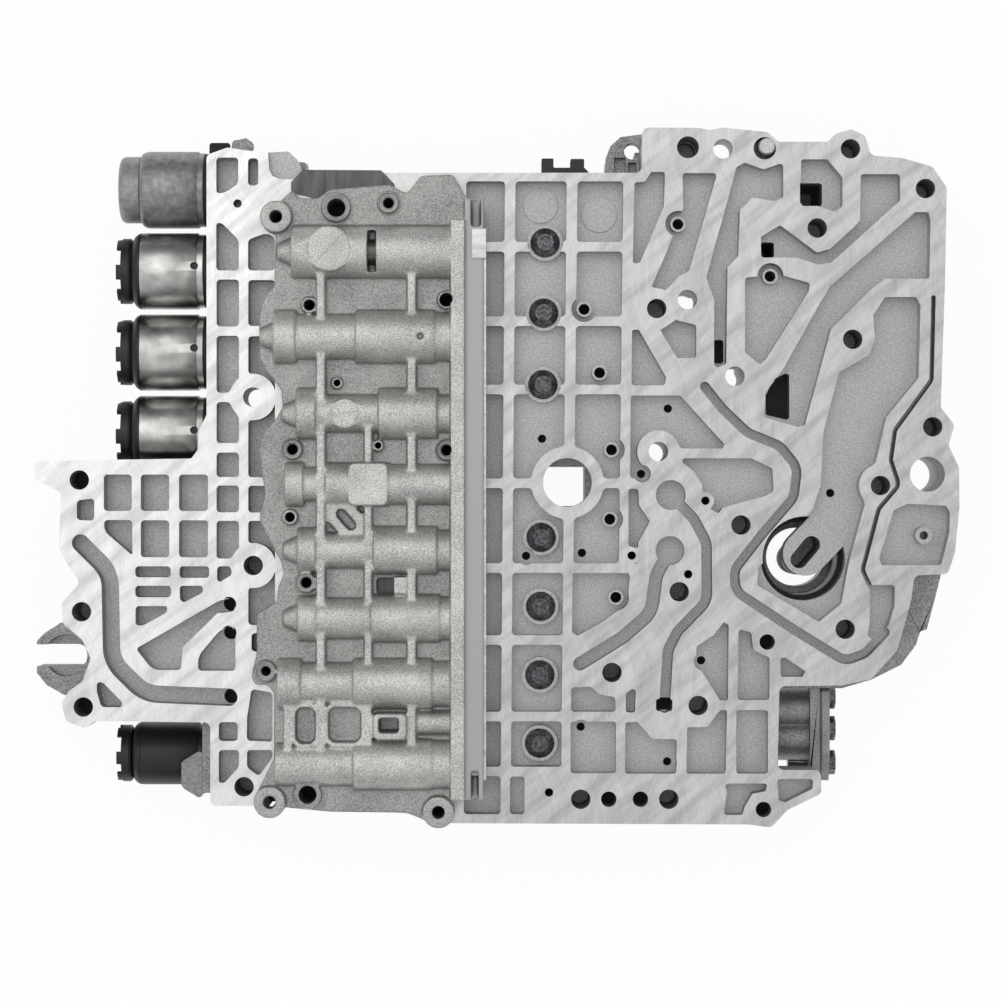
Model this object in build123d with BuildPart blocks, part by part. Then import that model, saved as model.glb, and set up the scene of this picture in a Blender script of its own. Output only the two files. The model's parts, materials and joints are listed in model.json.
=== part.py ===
"""Transmission valve body: a channel plate over a lower valve housing, with a raised upper housing.

The origin is the centre of the central bore on the machined lands. +Z leaves the lands, +Y is the
ear side and +X is the wide side. The assembly lies on the feet of its lower housing.
"""
import os
from math import cos, radians, sin

from build123d import *

os.makedirs("parts", exist_ok=True)

# Heights of the layers, from the machined lands down
plate_height = 18.0
sheet_thickness = 1.0
deck_thickness = 7.0
feet_drop = 32.0
screw_boss_drop = 26.0
lower_top = -(plate_height + sheet_thickness)
deck_bottom = lower_top - deck_thickness
feet_bottom = deck_bottom - feet_drop
lower_axis_z = -34.0

# Heights of the upper housing, from the machined lands up
flange_thickness = 6.5
upper_axis_z = 8.0
band_top = 16.0
end_wall_top = 18.0
rib_top = 14.0
flange_top = sheet_thickness + flange_thickness

# Channels of the channel plate
right_depth = 8.5
left_depth = 11.0
corner = 1.2
rib_width = 3.8
step_depth = 4.5
cell_corner = 0.0

# Holes of the channel plate
bolt_hole = 3.9
sleeve_hole = 2.2
sleeve_seat = 3.15
sleeve_seat_depth = 2.0
jet_hole = 1.7
jet_boss = 3.4
sleeve_boss = 5.0
central_hole = 9.8
central_boss = 14.5
sheet_setback = 0.5
shaft_hole = 7.0
shaft_hole_centre = (144.0, 3.3)

# Star-drive screws that hold the channel plate
plate_screw_head = 5.9
plate_screw_head_height = 3.6
plate_screw_shank = 3.0
plate_screw_hole = 3.3
plate_screw_length = 19.5
plate_screw_well = 7.2
drive_socket = 2.6
drive_socket_depth = 2.4
plate_screws_at = [
    (-8.9, 96.2), (-9.5, 68), (-9.8, 39.3), (-10.5, -22), (-10.7, -49.7), (-11, -77.2), (-11.1, -104.6),
]

# Spool valves of the upper housing
spool_bore = 5.0
running_gap = 0.05
spool_stem = 3.0
spool_length = 44.0
spring_outer = 4.2
spring_inner = 3.3
plug_length = 7.5
bore_blind_x = -105.0
face_x = -33.5
plug_gap = 0.05

# Keeper strip over the bores
keeper_thickness = 1.0
keeper_y = (-118.0, 100.0)
keeper_z = (2.5, 13.5)
keeper_tab_y = (88.5, 100.0)
keeper_tab_x = -38.0

# Solenoids
solenoid_pitch = 33.4
solenoid_first_y = 120.4
can_radius = 15.75
can_wall = 1.2
can_left_x = -175.5
can_right_x = -148.0
nose_radius = 9.5
nose_length = 34.0
nose_gap = 0.05
nose_bore = 4.0
nose_wall = 6.0
nose_grooves = [6.0, 20.0]
groove_width = 2.4
groove_depth = 1.5
seal_gap = 0.05
can_end = 2.0
can_edge = 2.0
flange_ring = 3.0
armature_radius = 6.0
armature_length = 16.0
armature_left_x = -174.0
connector_radius = 13.5
connector_left_x = -185.3
plain_cap_x = -183.0
socket_depth = 5.0
socket_half = 5.0
notch_y = 8.5
notch_half = 2.0
notch_depth = 4.5
notch_floor = 5.0
black_solenoid_y = -111.0
black_radius = 13.0
clamp_gap = 0.3
clamp_z = (-48.0, -19.4)
clamp_outline = [
    (-156.5, -114), (-155.5, -112.8), (-148.1, -108.3), (-148.1, -128.8), (-155.3, -124.5), (-156.5, -123),
]
nose_right_x = can_right_x + nose_length
steel_solenoids_y = [solenoid_first_y - row * solenoid_pitch for row in range(4)]

# Manual valve
manual_y = -70.4
manual_radius = 4.0
manual_length = 92.0
manual_stem = 2.6
manual_lands = [(0.0, 5.0), (9.0, 12.0), (34.0, 14.0), (60.0, 32.0)]
fork_gap_half = 4.5
fork_end_x = -195.4
fork_outline_left = -217.0
fork_top = -24.0
fork_bottom = -44.0
fork_scallop_x = -204.0
fork_scallop = 8.5
fork_scallop_depth = 4.0
fork_outline = [
    (-180, -55.5), (-206, -57), (-212.5, -61), (-216, -64.5), (-216, -77.5), (-212, -82.5), (-205, -86.5),
    (-180, -86.5),
]
manual_blind_x = fork_end_x + manual_length + 3.0
fork_gap_x = fork_end_x - fork_gap_half

# Lower housing
lower_outline = [
    (-142.5, 131), (-136, 133), (-136, 139), (-130, 140), (-127.5, 138), (-127.5, 131.5), (14, 123),
    (16, 132), (18, 137), (22, 140.5), (29.8, 141.6), (52, 141), (84, 137.6), (104, 137.6),
    (113.5, 140.5), (120.5, 136), (121.5, 130), (134, 129), (146, 125.5), (150.5, 118), (150.5, 40),
    (149.3, 30), (154, 20), (156, 5), (155, -28), (152.8, -35), (149.8, -47), (146.5, -59.5),
    (143.8, -60.5), (142, -66), (136, -74), (124, -80), (112, -83.5), (86, -83.5), (86, -118),
    (100.3, -118), (101, -124.5), (88, -130.5), (81, -136.5), (-44, -136), (-56, -135), (-62, -132),
    (-112, -129), (-142.5, -128.8), (-142.5, -97), (-188, -95), (-194, -97.5), (-200, -94.5),
    (-201.5, -88), (-188, -84), (-188, -57), (-200.5, -55), (-201.5, -49), (-194, -40), (-200, -31),
    (-202.5, -25.6), (-201.5, -5), (-190, 3), (-146, 3), (-142.5, 10),
]
ear_hole_at = (26.6, 134.6)
ear_hole = 3.2
ear_pockets = [(19.4, 23.9, 124.5, 132), (25.2, 28.4, 124.5, 130)]
ear_pocket_depth = 4.0
clip_tab = [(-145, 128), (-145, 138), (-136.5, 138), (-136.5, 128)]
lower_bulges = [
    (120.4, -146, 20, 11), (87, -146, 60, 11), (53.6, -146, 40, 11), (20.2, -146, 60, 11),
    (-13, -120, 60, 10), (-42, -110, 80, 10), (-70.4, -196, -95, 9), (-93, 20, 100, 9),
    (-105, 20, 100, 9), (-111, -147, 0, 11),
]
lower_ribs = [(-120, -125, 125), (-70, -130, 120), (-20, -130, 120), (30, -130, 135), (72, -75, 134),
              (130, -60, 125)]
lower_rib_width = 4.0
lower_rib_bottom = -44.0
solenoid_wall = (can_right_x, -138.0, 3.0, 131.0)
black_solenoid_wall = (can_right_x, -138.0, -126.0, -97.5)
solenoid_wall_bottom = -51.0
central_box = (-14.0, 12.0, -14.0, 11.0)
central_opening = (-9.5, 7.6, -9.5, 6.7)
ledge_z = -40.0
foot_radius = 6.5
feet_at = [
    (-129.4, -121.7), (-132, 118), (40.5, -126.8), (143.2, 117.6), (62.2, 133.7), (146.1, 22.3),
    (-195.3, -2), (-193.7, -89.8), (60, -60),
]
housing_screws_at = [
    (-102, 104), (-61, 71), (-101, 4), (-61, -92), (-102, -92), (125, 112), (133, 57), (52, 37.5),
    (42, -74), (127, -25),
]
housing_screw_hole = 3.3
housing_screw_shank = 3.0
housing_screw_engagement = 7.5
housing_screw_depth = 8.0
housing_screw_flange = 5.8
housing_flange_height = 1.4
housing_screw_hex = 4.6
housing_hex_height = 3.0

# Small outlines of clips and covers
screw_edge = 0.8
dowel_chamfer = 0.6
harness_outline = [
    (-10.3, 123.9), (-10.3, 130.2), (-5.5, 130.2), (-5.5, 126.5), (1.3, 126.5), (1.3, 130), (6.8, 130),
    (6.8, 126.5), (8.5, 124.9), (8.5, 123.9),
]
harness_z = (-16.0, -5.0)
cover_flange = (99.3, 103.3, -121.7, -83.5)
cover_z = (-50.0, -22.0)
cover_outline = [(-121.7, -46), (-121.7, -26), (-110, -22), (-83.5, -22), (-83.5, -50), (-110, -50)]
gasket_thickness = 1.0
cover_thickness = 3.0
cover_inner_x = cover_flange[1] + gasket_thickness
cover_outer_x = cover_inner_x + cover_thickness
cover_screws_y = [-88.0, -101.0, -115.0]
cover_screw_z = -36.0
cover_screw_shank = 3.0
cover_screw_depth = 12.0
cover_screw_hex = 5.0
cover_hex_height = 3.5


def corner_radii(points, wanted):
    """Give each corner the wanted radius, or less where a side beside it is short."""
    count = len(points)
    sides = [(Vector(*points[(i + 1) % count]) - Vector(*points[i])).length for i in range(count)]
    return [min(wanted, 0.3 * min(sides[i - 1], sides[i])) for i in range(count)]


def outline(points, radius, mode=Mode.ADD):
    """Fill a closed outline with rounded corners in the sketch that is open."""
    with BuildLine() as path:
        FilletPolyline(*points, radius=corner_radii(points, radius), close=True)
    make_face(path.edges(), mode=mode)


def outlines(shapes, radius):
    """Fill many closed outlines with rounded corners at once in the sketch that is open."""
    faces = []
    for points in shapes:
        with BuildLine() as path:
            FilletPolyline(*points, radius=corner_radii(points, radius), close=True)
        faces.append(make_face(path.edges(), mode=Mode.PRIVATE))
    add(faces)


def circles(places, mode):
    """Add or cut a circle at each place, given as a centre and a radius, in the sketch that is open."""
    with BuildSketch(mode=Mode.PRIVATE) as discs:
        for centre, radius in places:
            with Locations(centre):
                Circle(radius)
    add(discs.sketch, mode=mode)


def oval(ends, width, mode=Mode.ADD):
    """Add or cut an oval between two end centres in the sketch that is open."""
    with BuildSketch(mode=Mode.PRIVATE) as shape:
        with BuildLine() as path:
            Line(*ends)
        trace(path.edges(), line_width=width)
        with Locations(*ends):
            Circle(width / 2)
    add(shape.sketch, mode=mode)


def box_points(x0, x1, y0, y1):
    """Give the corners of an upright rectangle."""
    return [(x0, y0), (x1, y0), (x1, y1), (x0, y1)]


def block(x0, x1, y0, y1, z0, z1, mode=Mode.ADD, radius=0.0):
    """Add or cut an upright block with rounded corners in the part that is open."""
    with BuildSketch(Plane.XY.offset(z0)) as section:
        outline(box_points(x0, x1, y0, y1), radius)
    extrude(section.sketch, amount=z1 - z0, mode=mode)


def prism(points, z0, z1, radius=0.0, mode=Mode.ADD):
    """Add or cut an upright prism over an outline in the part that is open."""
    with BuildSketch(Plane.XY.offset(z0)) as section:
        outline(points, radius)
    extrude(section.sketch, amount=z1 - z0, mode=mode)


def posts(places, radius, z0, z1, mode=Mode.ADD):
    """Add or cut upright cylinders in the part that is open."""
    with BuildSketch(Plane.XY.offset(z0)) as section:
        with Locations(*places):
            Circle(radius)
    extrude(section.sketch, amount=z1 - z0, mode=mode)


def cylinder_x(x0, x1, y, z, radius, mode=Mode.ADD):
    """Add or cut a cylinder along X in the part that is open."""
    with BuildSketch(Plane.YZ.offset(x0)) as section:
        with Locations((y, z)):
            Circle(radius)
    extrude(section.sketch, amount=x1 - x0, mode=mode)


def tube_x(x0, x1, y, z, outer, inner):
    """Add a tube along X in the part that is open."""
    with BuildSketch(Plane.YZ.offset(x0)) as section:
        with Locations((y, z)):
            Circle(outer)
            Circle(inner, mode=Mode.SUBTRACT)
    extrude(section.sketch, amount=x1 - x0)


def write(part, name):
    """Label a finished piece and write it under its node's name."""
    part.label = name
    export_step(part, f"parts/{name}.step")


# Outline of the channel plate, clockwise from its top left corner
plate_outline = [
    (-144.4, 131), (-136, 134), (-124, 132.2), (-112, 133), (-108.2, 129.5), (-106.3, 123.9),
    (29.6, 123.9), (30, 142), (52, 141.9), (57, 141), (62, 142), (80, 140.2), (84.5, 136.3),
    (104, 136.3), (107.5, 139.6), (113.5, 141.3), (119, 138.8), (121.5, 130.8), (134, 129.8),
    (146, 126.3), (151.7, 118), (151, 80), (149.3, 30), (154.8, 23), (152.4, 15), (156.6, 6),
    (156.8, -10), (155, -28), (152.2, -36.6), (138.8, -37.2), (137.5, -47), (132, -67),
    (121.5, -78.7), (110, -81.2), (84.8, -81.5), (84, -115), (101.3, -115), (101.6, -124.4),
    (88, -131), (81.5, -138), (72.5, -136.8), (-44, -136.3), (-56, -136), (-62, -132.5),
    (-112, -129.4), (-142.9, -129.3), (-142.9, -96), (-189, -95.4), (-193, -98.3),
    (-200.5, -95.5), (-202.5, -88.5), (-199.5, -83.5), (-194, -79.5), (-190.7, -70.5),
    (-194, -63), (-201.8, -56.5), (-202.5, -48.5), (-195, -40), (-201, -31.2), (-203.6, -25.6),
    (-202.5, -4), (-213, 1.2), (-213, 8.6), (-150.5, 9.6), (-148, 13), (-147.6, 20.5), (-144.4, 27),
]
ear_outline = [
    (-120.4, 140), (-119.3, 125), (-118, 122.5), (-115, 121.4), (-100, 121), (-100, 140),
]

# Rib grid between the central column of screws and the housings
grid_top = 120.5
grid_bottom = -132.7
rib_lines_y = [94.3, 64.5, 37.2, -0.3, -34.2, -63.0, -93.6, -115.6]
grid_edges_a = ((-40.5, -41.5), (-25.0, -26.8))
grid_edges_b = ((-20.8, -22.8), (-0.3, -2.7))
grid_edges_c = ((4.0, 1.3), (22.3, 19.4))

# Outlines of the channels right of the rib grid
right_channels = [
    box_points(-23, -17.2, -132.7, -117.6),
    [(2.0, -36.2), (25, -36.2), (24, -48.5), (13.5, -56), (4, -61.3), (1.8, -60)],
    [(1.5, -82), (9, -81.6), (13, -84.8), (19, -85.8), (19.3, -91.7), (1.4, -91.7)],
    box_points(1.2, 19.4, -116.3, -95.6),
    [(26.8, 120), (31, 120.3), (33.5, 124.3), (39, 124.3), (38.6, 110.5), (29, 88), (26.1, 87.5)],
    [
        (46, 123.8), (59.9, 123.8), (48.5, 84.5), (44.5, 82.4), (39.5, 77), (33, 77), (40, 93),
        (46.3, 110),
    ],
    [
        (67.5, 126), (70.8, 128), (78.5, 125.3), (86.3, 128), (86.3, 114), (83, 112.6),
        (74, 114), (69, 109), (68.3, 90.5), (64, 86), (63.5, 47.5), (60, 46), (58.6, 47),
        (58.7, 73), (55.5, 82), (66, 120),
    ],
    [
        (93.4, 129.3), (104, 129.3), (110, 122), (110, 110.5), (107, 108.3), (100, 110.6),
        (93.4, 110.6),
    ],
    [
        (117.3, 123.4), (133, 123.4), (133.1, 112.8), (105.5, 88), (100, 87.2), (92, 89.9),
        (77.5, 90), (77.3, 98.3), (85, 103), (99.8, 92), (105, 93.4), (115, 102.5), (117, 105),
    ],
    [
        (136, 105.5), (139, 108.2), (144.4, 108.2), (145.2, 105), (144.8, 81.5), (127, 81.5),
        (121, 77), (105.5, 61.5), (95, 23), (92.3, 22.2), (78.5, 26.2), (79.2, 36),
        (86, 45), (100, 70), (105, 78.5),
    ],
    [(71, 82), (85, 83.2), (97, 79.8), (96.5, 76.5), (79.5, 49.5), (77, 47.2), (71, 52)],
    [(37, 61.5), (42.3, 65.3), (51.5, 63), (51.5, 49.8), (43.8, 49.8), (38.5, 58.5)],
    [(25.8, 61), (28.5, 61.2), (39.5, 42), (38.8, 38.9), (25.6, 38.8)],
    [(25.3, 34.8), (45, 34.8), (62.8, 15.3), (62, 13.6), (28, 13.6), (31.5, 2.8), (25, 1.4)],
    [
        (43.5, 9.7), (73.5, 9.7), (82, 5.6), (82.5, -3.5), (79, -5.4), (62, -10), (60.5, -12.4),
        (53.8, -9), (54, -1), (50.5, 4.5),
    ],
    [(24.4, -2.5), (28.3, -2.5), (28.6, -9), (33, -15.5), (28.3, -24), (28.1, -32.5), (24.4, -32.5)],
    [
        (127, 74.2), (139.5, 74.2), (141.2, 71), (140.5, 42), (127.5, 26), (123.3, 8), (118, 3.4),
        (119, -8.5), (112.7, -31.5), (109.5, -48.5), (100.5, -55.8), (75.8, -41), (76.5, -34),
        (98, -11), (101.3, -1), (102.3, 20), (108.5, 44), (120.5, 51), (123, 57), (122.3, 67),
    ],
    [
        (130.5, -11), (136, -8.5), (151.5, -9.3), (153, -12), (152.8, -20), (149.5, -33),
        (125.5, -33), (124.7, -30),
    ],
    [(85.2, -70.2), (87, -70), (95.2, -75.5), (94, -77.7), (85.2, -77.7)],
    [(51.6, -65.5), (58.5, -61), (62.5, -55.8), (64.5, -57), (64.2, -87.2), (61, -87.2), (51.5, -72)],
    [(68.4, -58.5), (73.5, -60), (74.3, -67), (80.8, -70), (80.8, -87), (68, -87)],
    [(47.8, -97.8), (56, -97.8), (61, -91), (63.8, -91), (63.3, -116.5), (47.6, -116.5)],
    box_points(67.5, 80.2, -116.5, -91),
    [(120.9, -41), (131, -41), (130.8, -49.5), (128.5, -57), (122.5, -63.5), (120, -61), (120.9, -56)],
    [(23.1, -95.8), (28, -95.8), (34, -102.6), (43.7, -102.6), (43.5, -116.5), (23, -116.5)],
    [(23.3, -84.5), (27.4, -81.3), (27, -92), (23.3, -92)],
    [
        (62.8, -120.4), (80, -120.4), (79.3, -123.5), (74, -124.5), (70.8, -130), (70, -133),
        (62.5, -133), (63.7, -124),
    ],
    [(83.8, -118.6), (98.3, -118.6), (98, -122.5), (87, -128), (84.5, -127)],
]

# Centre lines and widths of the winding channels
snake_width = 3.9
snake_channel = [
    (54.9, 38.4), (62, 29.5), (72, 20), (85, 14.6), (92, 6), (90.5, -6), (78, -20.5),
    (66.7, -35), (67.3, -43.5), (90, -58.5), (111, -71.4), (119, -68.4), (127, -60),
]
slot_width = 1.8
thin_slot = [
    (146.4, 74), (145.6, 41), (131, 21), (129.3, 9), (132.6, -1), (124.5, -10.5),
    (118, -35), (121.8, -43),
]
feed_width = 4.3
feed_channel = [
    (41.3, -5), (50.5, -14.5), (55.6, -24), (55.8, -47.5), (44, -59.5), (40.2, -67), (38.8, -90),
]
return_width = 5.4
return_channel = [(41, -27.2), (35.5, -37), (33.5, -52), (22, -62), (5, -72.5)]
round_ends = [((41.3, -5), 6.0), ((41, -27.2), 5.8)]

# Round bore in the long pocket, with the tongue that carries an oval port
round_bore_centre = (95.0, -30.5)
round_bore_radius = 17.0
round_bore_lower = 15.0
round_bore_outlet = 12.0
port_ends = ((98.5, -25.0), (93.5, -31.0))
port_width = 7.0
port_wall = 2.8
tongue_width = 18.0
tongue_ends = [(96.0, -28.5), (108.0, -16.0)]

# Windows that pass through every layer
well_wall = 2.5
well_bottom = -54.0
windows = [box_points(93, 102.7, 111.3, 120.6), box_points(78, 83.4, 90.6, 96.8)]
deep_windows = [
    [(88, 44), (89.5, 43.5), (89.6, 25), (80, 27.3), (80, 35), (83, 41.5)],
    box_points(59, 63, 48, 57.5),
    box_points(35.4, 42, -91.5, -86.5),
]

# Holes of the right side of the channel plate
bolt_holes = [
    (62.2, 133.5), (113.2, 133.5), (143.2, 117.6), (99.9, 101.8), (35.7, 69.6), (48, 73.2),
    (67, 42.5), (114.1, 57.3), (146.1, 22.3), (125.2, -1.2), (36.4, 12.4), (69.4, -17),
    (44.7, -43.7), (17.8, -76), (52.3, -89.2), (111.1, -58.7), (5.3, -126.7), (40.5, -126.7),
]
bolt_bosses = [((36.4, 12.4), 8.5), ((125.2, -1.2), 8.6), ((111.1, -58.7), 8.3), ((35.7, 69.6), 8.0)]
sleeve_holes = [
    (44.3, 103.5), (81.2, 82.6), (17.7, 13.1), (17, -14.7), (19.4, -46), (12.9, 44), (6.7, 69.4),
]
jet_holes = [
    (40.6, 29.8), (29.8, 3.5), (55.2, -7.3), (25.7, -29.2), (48.3, -36.7), (54, -71.6),
    (106, -4.2), (5.5, -98.3), (40.3, -112.3), (-7.4, -124), (-10.1, 17.7), (-16.5, -29.5), (6, -28.3),
]
threaded_holes = [(79.9, -63.8), (78.4, -130.8), (16.5, -126.7), (29.2, -126.7)]
threaded_radius = 3.1
boss_post = (142.8, -21.2)
date_discs = [((-10.7, 111.3), 6.8), ((12.9, 107.8), 7.0)]
dowel_hole = (78.9, 133.7)
dowel_hole_radius = 4.5
dowel_radius = 3.4
dowel_at = (79.7, 134.4)
dowel_stand = 1.0
blind_hole = (48.2, 134.1)
blind_depth = 12.0
date_disc_step = 0.8

# Outlines of the channels of the left side
left_edge_x = (-140.4, -131.4)
inner_edge_x = (-127.7, -117.0)
left_rows = [(62.4, 81.2), (35.9, 58.7), (15.8, 32.2), (2.2, 12), (-11.9, -1.2), (-30.4, -15.3)]
inner_rows = [(62.6, 81), (35.9, 58.5), (2.1, 32.2), (-12, -1.3), (-31, -15.3), (-57, -36)]
left_bosses = [((-125.9, 34.2), 9.3), ((-125.7, -33.2), 9.0)]
grid_columns_x = [(-185.5, -174.3), (-170.7, -159.3), (-155.4, -143.8)]
upper_row_y = (-11.4, 3.2)
lower_row_y = (-29.9, -15.1)
left_channels = [
    [(-140.5, 130), (-131.7, 130), (-131.7, 119.5), (-137, 116), (-140.5, 115.5)],
    box_points(-127.8, -123.7, 118.8, 129.7),
    [(-140.5, 103.8), (-138.3, 103.8), (-131.5, 97), (-131.5, 84.8), (-140.5, 84.8)],
    [(-127.8, 97.2), (-120.5, 99.8), (-117, 98), (-117, 84.8), (-127.8, 84.8)],
    [(-140.1, -33.5), (-134, -33.5), (-133.5, -36.5), (-139, -39.8), (-140.2, -39)],
    [(-185.4, -15), (-174.1, -15), (-174, -29.3), (-185.3, -19.5)],
    box_points(-172.9, -158.7, -37.9, -33.5),
    box_points(-155.2, -143.3, -38.1, -33.5),
    box_points(-172.9, -158.6, -45.9, -41.3),
    [(-155.2, -41.3), (-146, -41.3), (-145.8, -44), (-153.5, -48), (-155, -47)],
    [(-172.8, -49.4), (-160, -49.4), (-160.3, -52), (-170, -57.3), (-172.8, -57)],
    [(-196.3, -7.2), (-189.3, -6.3), (-189.3, -15.3), (-196.3, -15)],
    [(-172.7, -66.5), (-138, -46.5), (-133.5, -46.5), (-133, -51.5), (-140, -52.3),
     (-154, -66), (-154.6, -75), (-166, -75)],
    [(-147.8, -69.5), (-139, -59), (-134, -57.2), (-132.8, -62), (-132.8, -75.3), (-147.8, -75.3)],
    [(-188.3, -80), (-186, -79.8), (-178, -88), (-178.5, -89.9), (-186.5, -89.9), (-188.3, -83.7)],
    [(-126.4, -82.6), (-118, -84), (-118, -103.7), (-128.3, -103.3), (-128.2, -94)],
    box_points(-139.5, -131.9, -103.4, -95.8),
    [(-139.5, -107), (-131.4, -107), (-131.4, -113.8), (-137.3, -120.2), (-139.5, -120)],
    [(-128.2, -107), (-118, -107), (-118, -110), (-123.5, -117.5), (-128.2, -114)],
    box_points(-126.4, -117.5, -67.6, -60.2),
]
hook_width = 7.0
hook_channel = [(-194.8, -24.2), (-183, -36), (-182.3, -71.5), (-169, -84.5), (-135.5, -85.9)]
left_bolt_holes = [
    (-125.9, 34.2), (-125.7, -33.2), (-195.3, 1), (-194.4, -51.7), (-193.7, -89.8), (-129.4, -121.7),
]
left_ports = [(-135.5, -48.7), (-135.4, -60.2), (-135.3, -86)]
left_port_radius = 3.0
left_jet_holes = [(-132, 111.6), (-121.8, -47.7)]


def edge_at(edge, y):
    """Give the X of a slightly leaning rib edge at a height of the grid."""
    share = (grid_top - y) / (grid_top - grid_bottom)
    return edge[0] + share * (edge[1] - edge[0])


def grid_cell(edges, y_high, y_low):
    """Give the corners of one cell of the rib grid."""
    left, right = edges
    return [
        (edge_at(left, y_low), y_low), (edge_at(right, y_low), y_low),
        (edge_at(right, y_high), y_high), (edge_at(left, y_high), y_high),
    ]


def grid_rows(last):
    """Give the upper and lower Y of the first rows of the rib grid."""
    highs = [grid_top] + [y - rib_width / 2 for y in rib_lines_y]
    lows = [y + rib_width / 2 for y in rib_lines_y] + [grid_bottom]
    return list(zip(highs, lows))[:last]


def bend_radii(points, wanted):
    """Give each bend of an open path the wanted radius, or less where a run is short."""
    runs = [Vector(*b) - Vector(*a) for a, b in zip(points, points[1:])]
    radii = []
    for before, after in zip(runs, runs[1:]):
        half_turn = radians(before.get_angle(after) / 2)
        reach = 0.4 * min(before.length, after.length)
        radii.append(min(wanted, reach * cos(half_turn) / max(sin(half_turn), 0.02)))
    return radii


def channel_path(points, width):
    """Fill a winding channel of even width with round ends in the sketch that is open."""
    with BuildLine() as path:
        FilletPolyline(*points, radius=bend_radii(points, 2.0 * width))
    trace(path.edges(), line_width=width)
    with Locations(points[0], points[-1]):
        Circle(width / 2)


def long_hole(ends, width, z0, z1, mode=Mode.ADD):
    """Add or cut an upright oval between two end centres in the part that is open."""
    with BuildSketch(Plane.XY.offset(z0)) as section:
        oval(ends, width)
    extrude(section.sketch, amount=z1 - z0, mode=mode)


def open_layer(z0, z1, bore):
    """Cut the windows, the shaft hole and the round bore that pass through every layer."""
    for window in windows:
        prism(window, z0, z1, corner, Mode.SUBTRACT)
    posts([shaft_hole_centre], shaft_hole, z0, z1, Mode.SUBTRACT)
    posts([round_bore_centre], bore, z0, z1, Mode.SUBTRACT)


# Channel plate: milled lands over cast channels
with BuildPart() as channel_plate:
    with BuildSketch(Plane.XY.offset(-plate_height)):
        outline(plate_outline, 2.5)
    extrude(amount=plate_height)
    with BuildSketch():
        outlines([grid_cell(grid_edges_a, high, low) for high, low in grid_rows(9)], cell_corner)
        outlines([grid_cell(grid_edges_b, high, low) for high, low in grid_rows(8)], cell_corner)
        outlines([grid_cell(grid_edges_c, high, low) for high, low in grid_rows(5)], cell_corner)
        outlines(right_channels, corner)
        circles([((0, 0), central_boss)] + bolt_bosses + date_discs, Mode.SUBTRACT)
        circles([(place, plate_screw_well) for place in plate_screws_at], Mode.SUBTRACT)
        circles([(place, jet_boss) for place in jet_holes + [boss_post]], Mode.SUBTRACT)
        circles([(place, sleeve_boss) for place in sleeve_holes], Mode.SUBTRACT)
        channel_path(snake_channel, snake_width)
        channel_path(thin_slot, slot_width)
        channel_path(feed_channel, feed_width)
        channel_path(return_channel, return_width)
        circles(round_ends, Mode.ADD)
    extrude(amount=-right_depth, mode=Mode.SUBTRACT)
    with BuildSketch():
        outlines([box_points(*left_edge_x, low, high) for low, high in left_rows], cell_corner)
        outlines([box_points(*inner_edge_x, low, high) for low, high in inner_rows], cell_corner)
        outlines([box_points(x0, x1, *upper_row_y) for x0, x1 in grid_columns_x], cell_corner)
        outlines([box_points(x0, x1, *lower_row_y) for x0, x1 in grid_columns_x[1:]], cell_corner)
        outlines(left_channels, cell_corner)
        channel_path(hook_channel, hook_width)
        circles(left_bosses, Mode.SUBTRACT)
    extrude(amount=-left_depth, mode=Mode.SUBTRACT)
    with BuildSketch():
        outline(ear_outline, corner)
        circles([(place, plate_screw_well) for place in plate_screws_at], Mode.ADD)
    extrude(amount=-step_depth, mode=Mode.SUBTRACT)
    with BuildSketch():
        circles([(place, sleeve_seat) for place in sleeve_holes] + [(boss_post, jet_boss)], Mode.ADD)
    extrude(amount=-sleeve_seat_depth, mode=Mode.SUBTRACT)
    with BuildSketch():
        circles(date_discs, Mode.ADD)
    extrude(amount=date_disc_step - right_depth, mode=Mode.SUBTRACT)
    with BuildSketch():
        circles([(place, jet_hole) for place in jet_holes + left_jet_holes + [boss_post]], Mode.ADD)
        circles([(blind_hole, bolt_hole), (dowel_hole, dowel_hole_radius)], Mode.ADD)
    extrude(amount=-blind_depth, mode=Mode.SUBTRACT)
    with BuildSketch(Plane.XY.offset(-plate_height)):
        circles([(place, housing_screw_shank + running_gap) for place in housing_screws_at], Mode.ADD)
    extrude(amount=housing_screw_depth, mode=Mode.SUBTRACT)
    with BuildSketch():
        circles([(round_bore_centre, round_bore_radius)], Mode.ADD)
        oval(tongue_ends, tongue_width, Mode.SUBTRACT)
        oval(port_ends, port_width, Mode.ADD)
        circles([(place, bolt_hole) for place in bolt_holes + left_bolt_holes], Mode.ADD)
        circles([(place, plate_screw_hole) for place in plate_screws_at], Mode.ADD)
        circles([(place, sleeve_hole) for place in sleeve_holes], Mode.ADD)
        circles([(place, threaded_radius) for place in threaded_holes], Mode.ADD)
        circles([(place, left_port_radius) for place in left_ports], Mode.ADD)
        circles([((0, 0), central_hole), (shaft_hole_centre, shaft_hole)], Mode.ADD)
        outlines(windows + deep_windows, corner)
    extrude(amount=-plate_height, mode=Mode.SUBTRACT)
write(channel_plate.part, "channel_plate")

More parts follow.
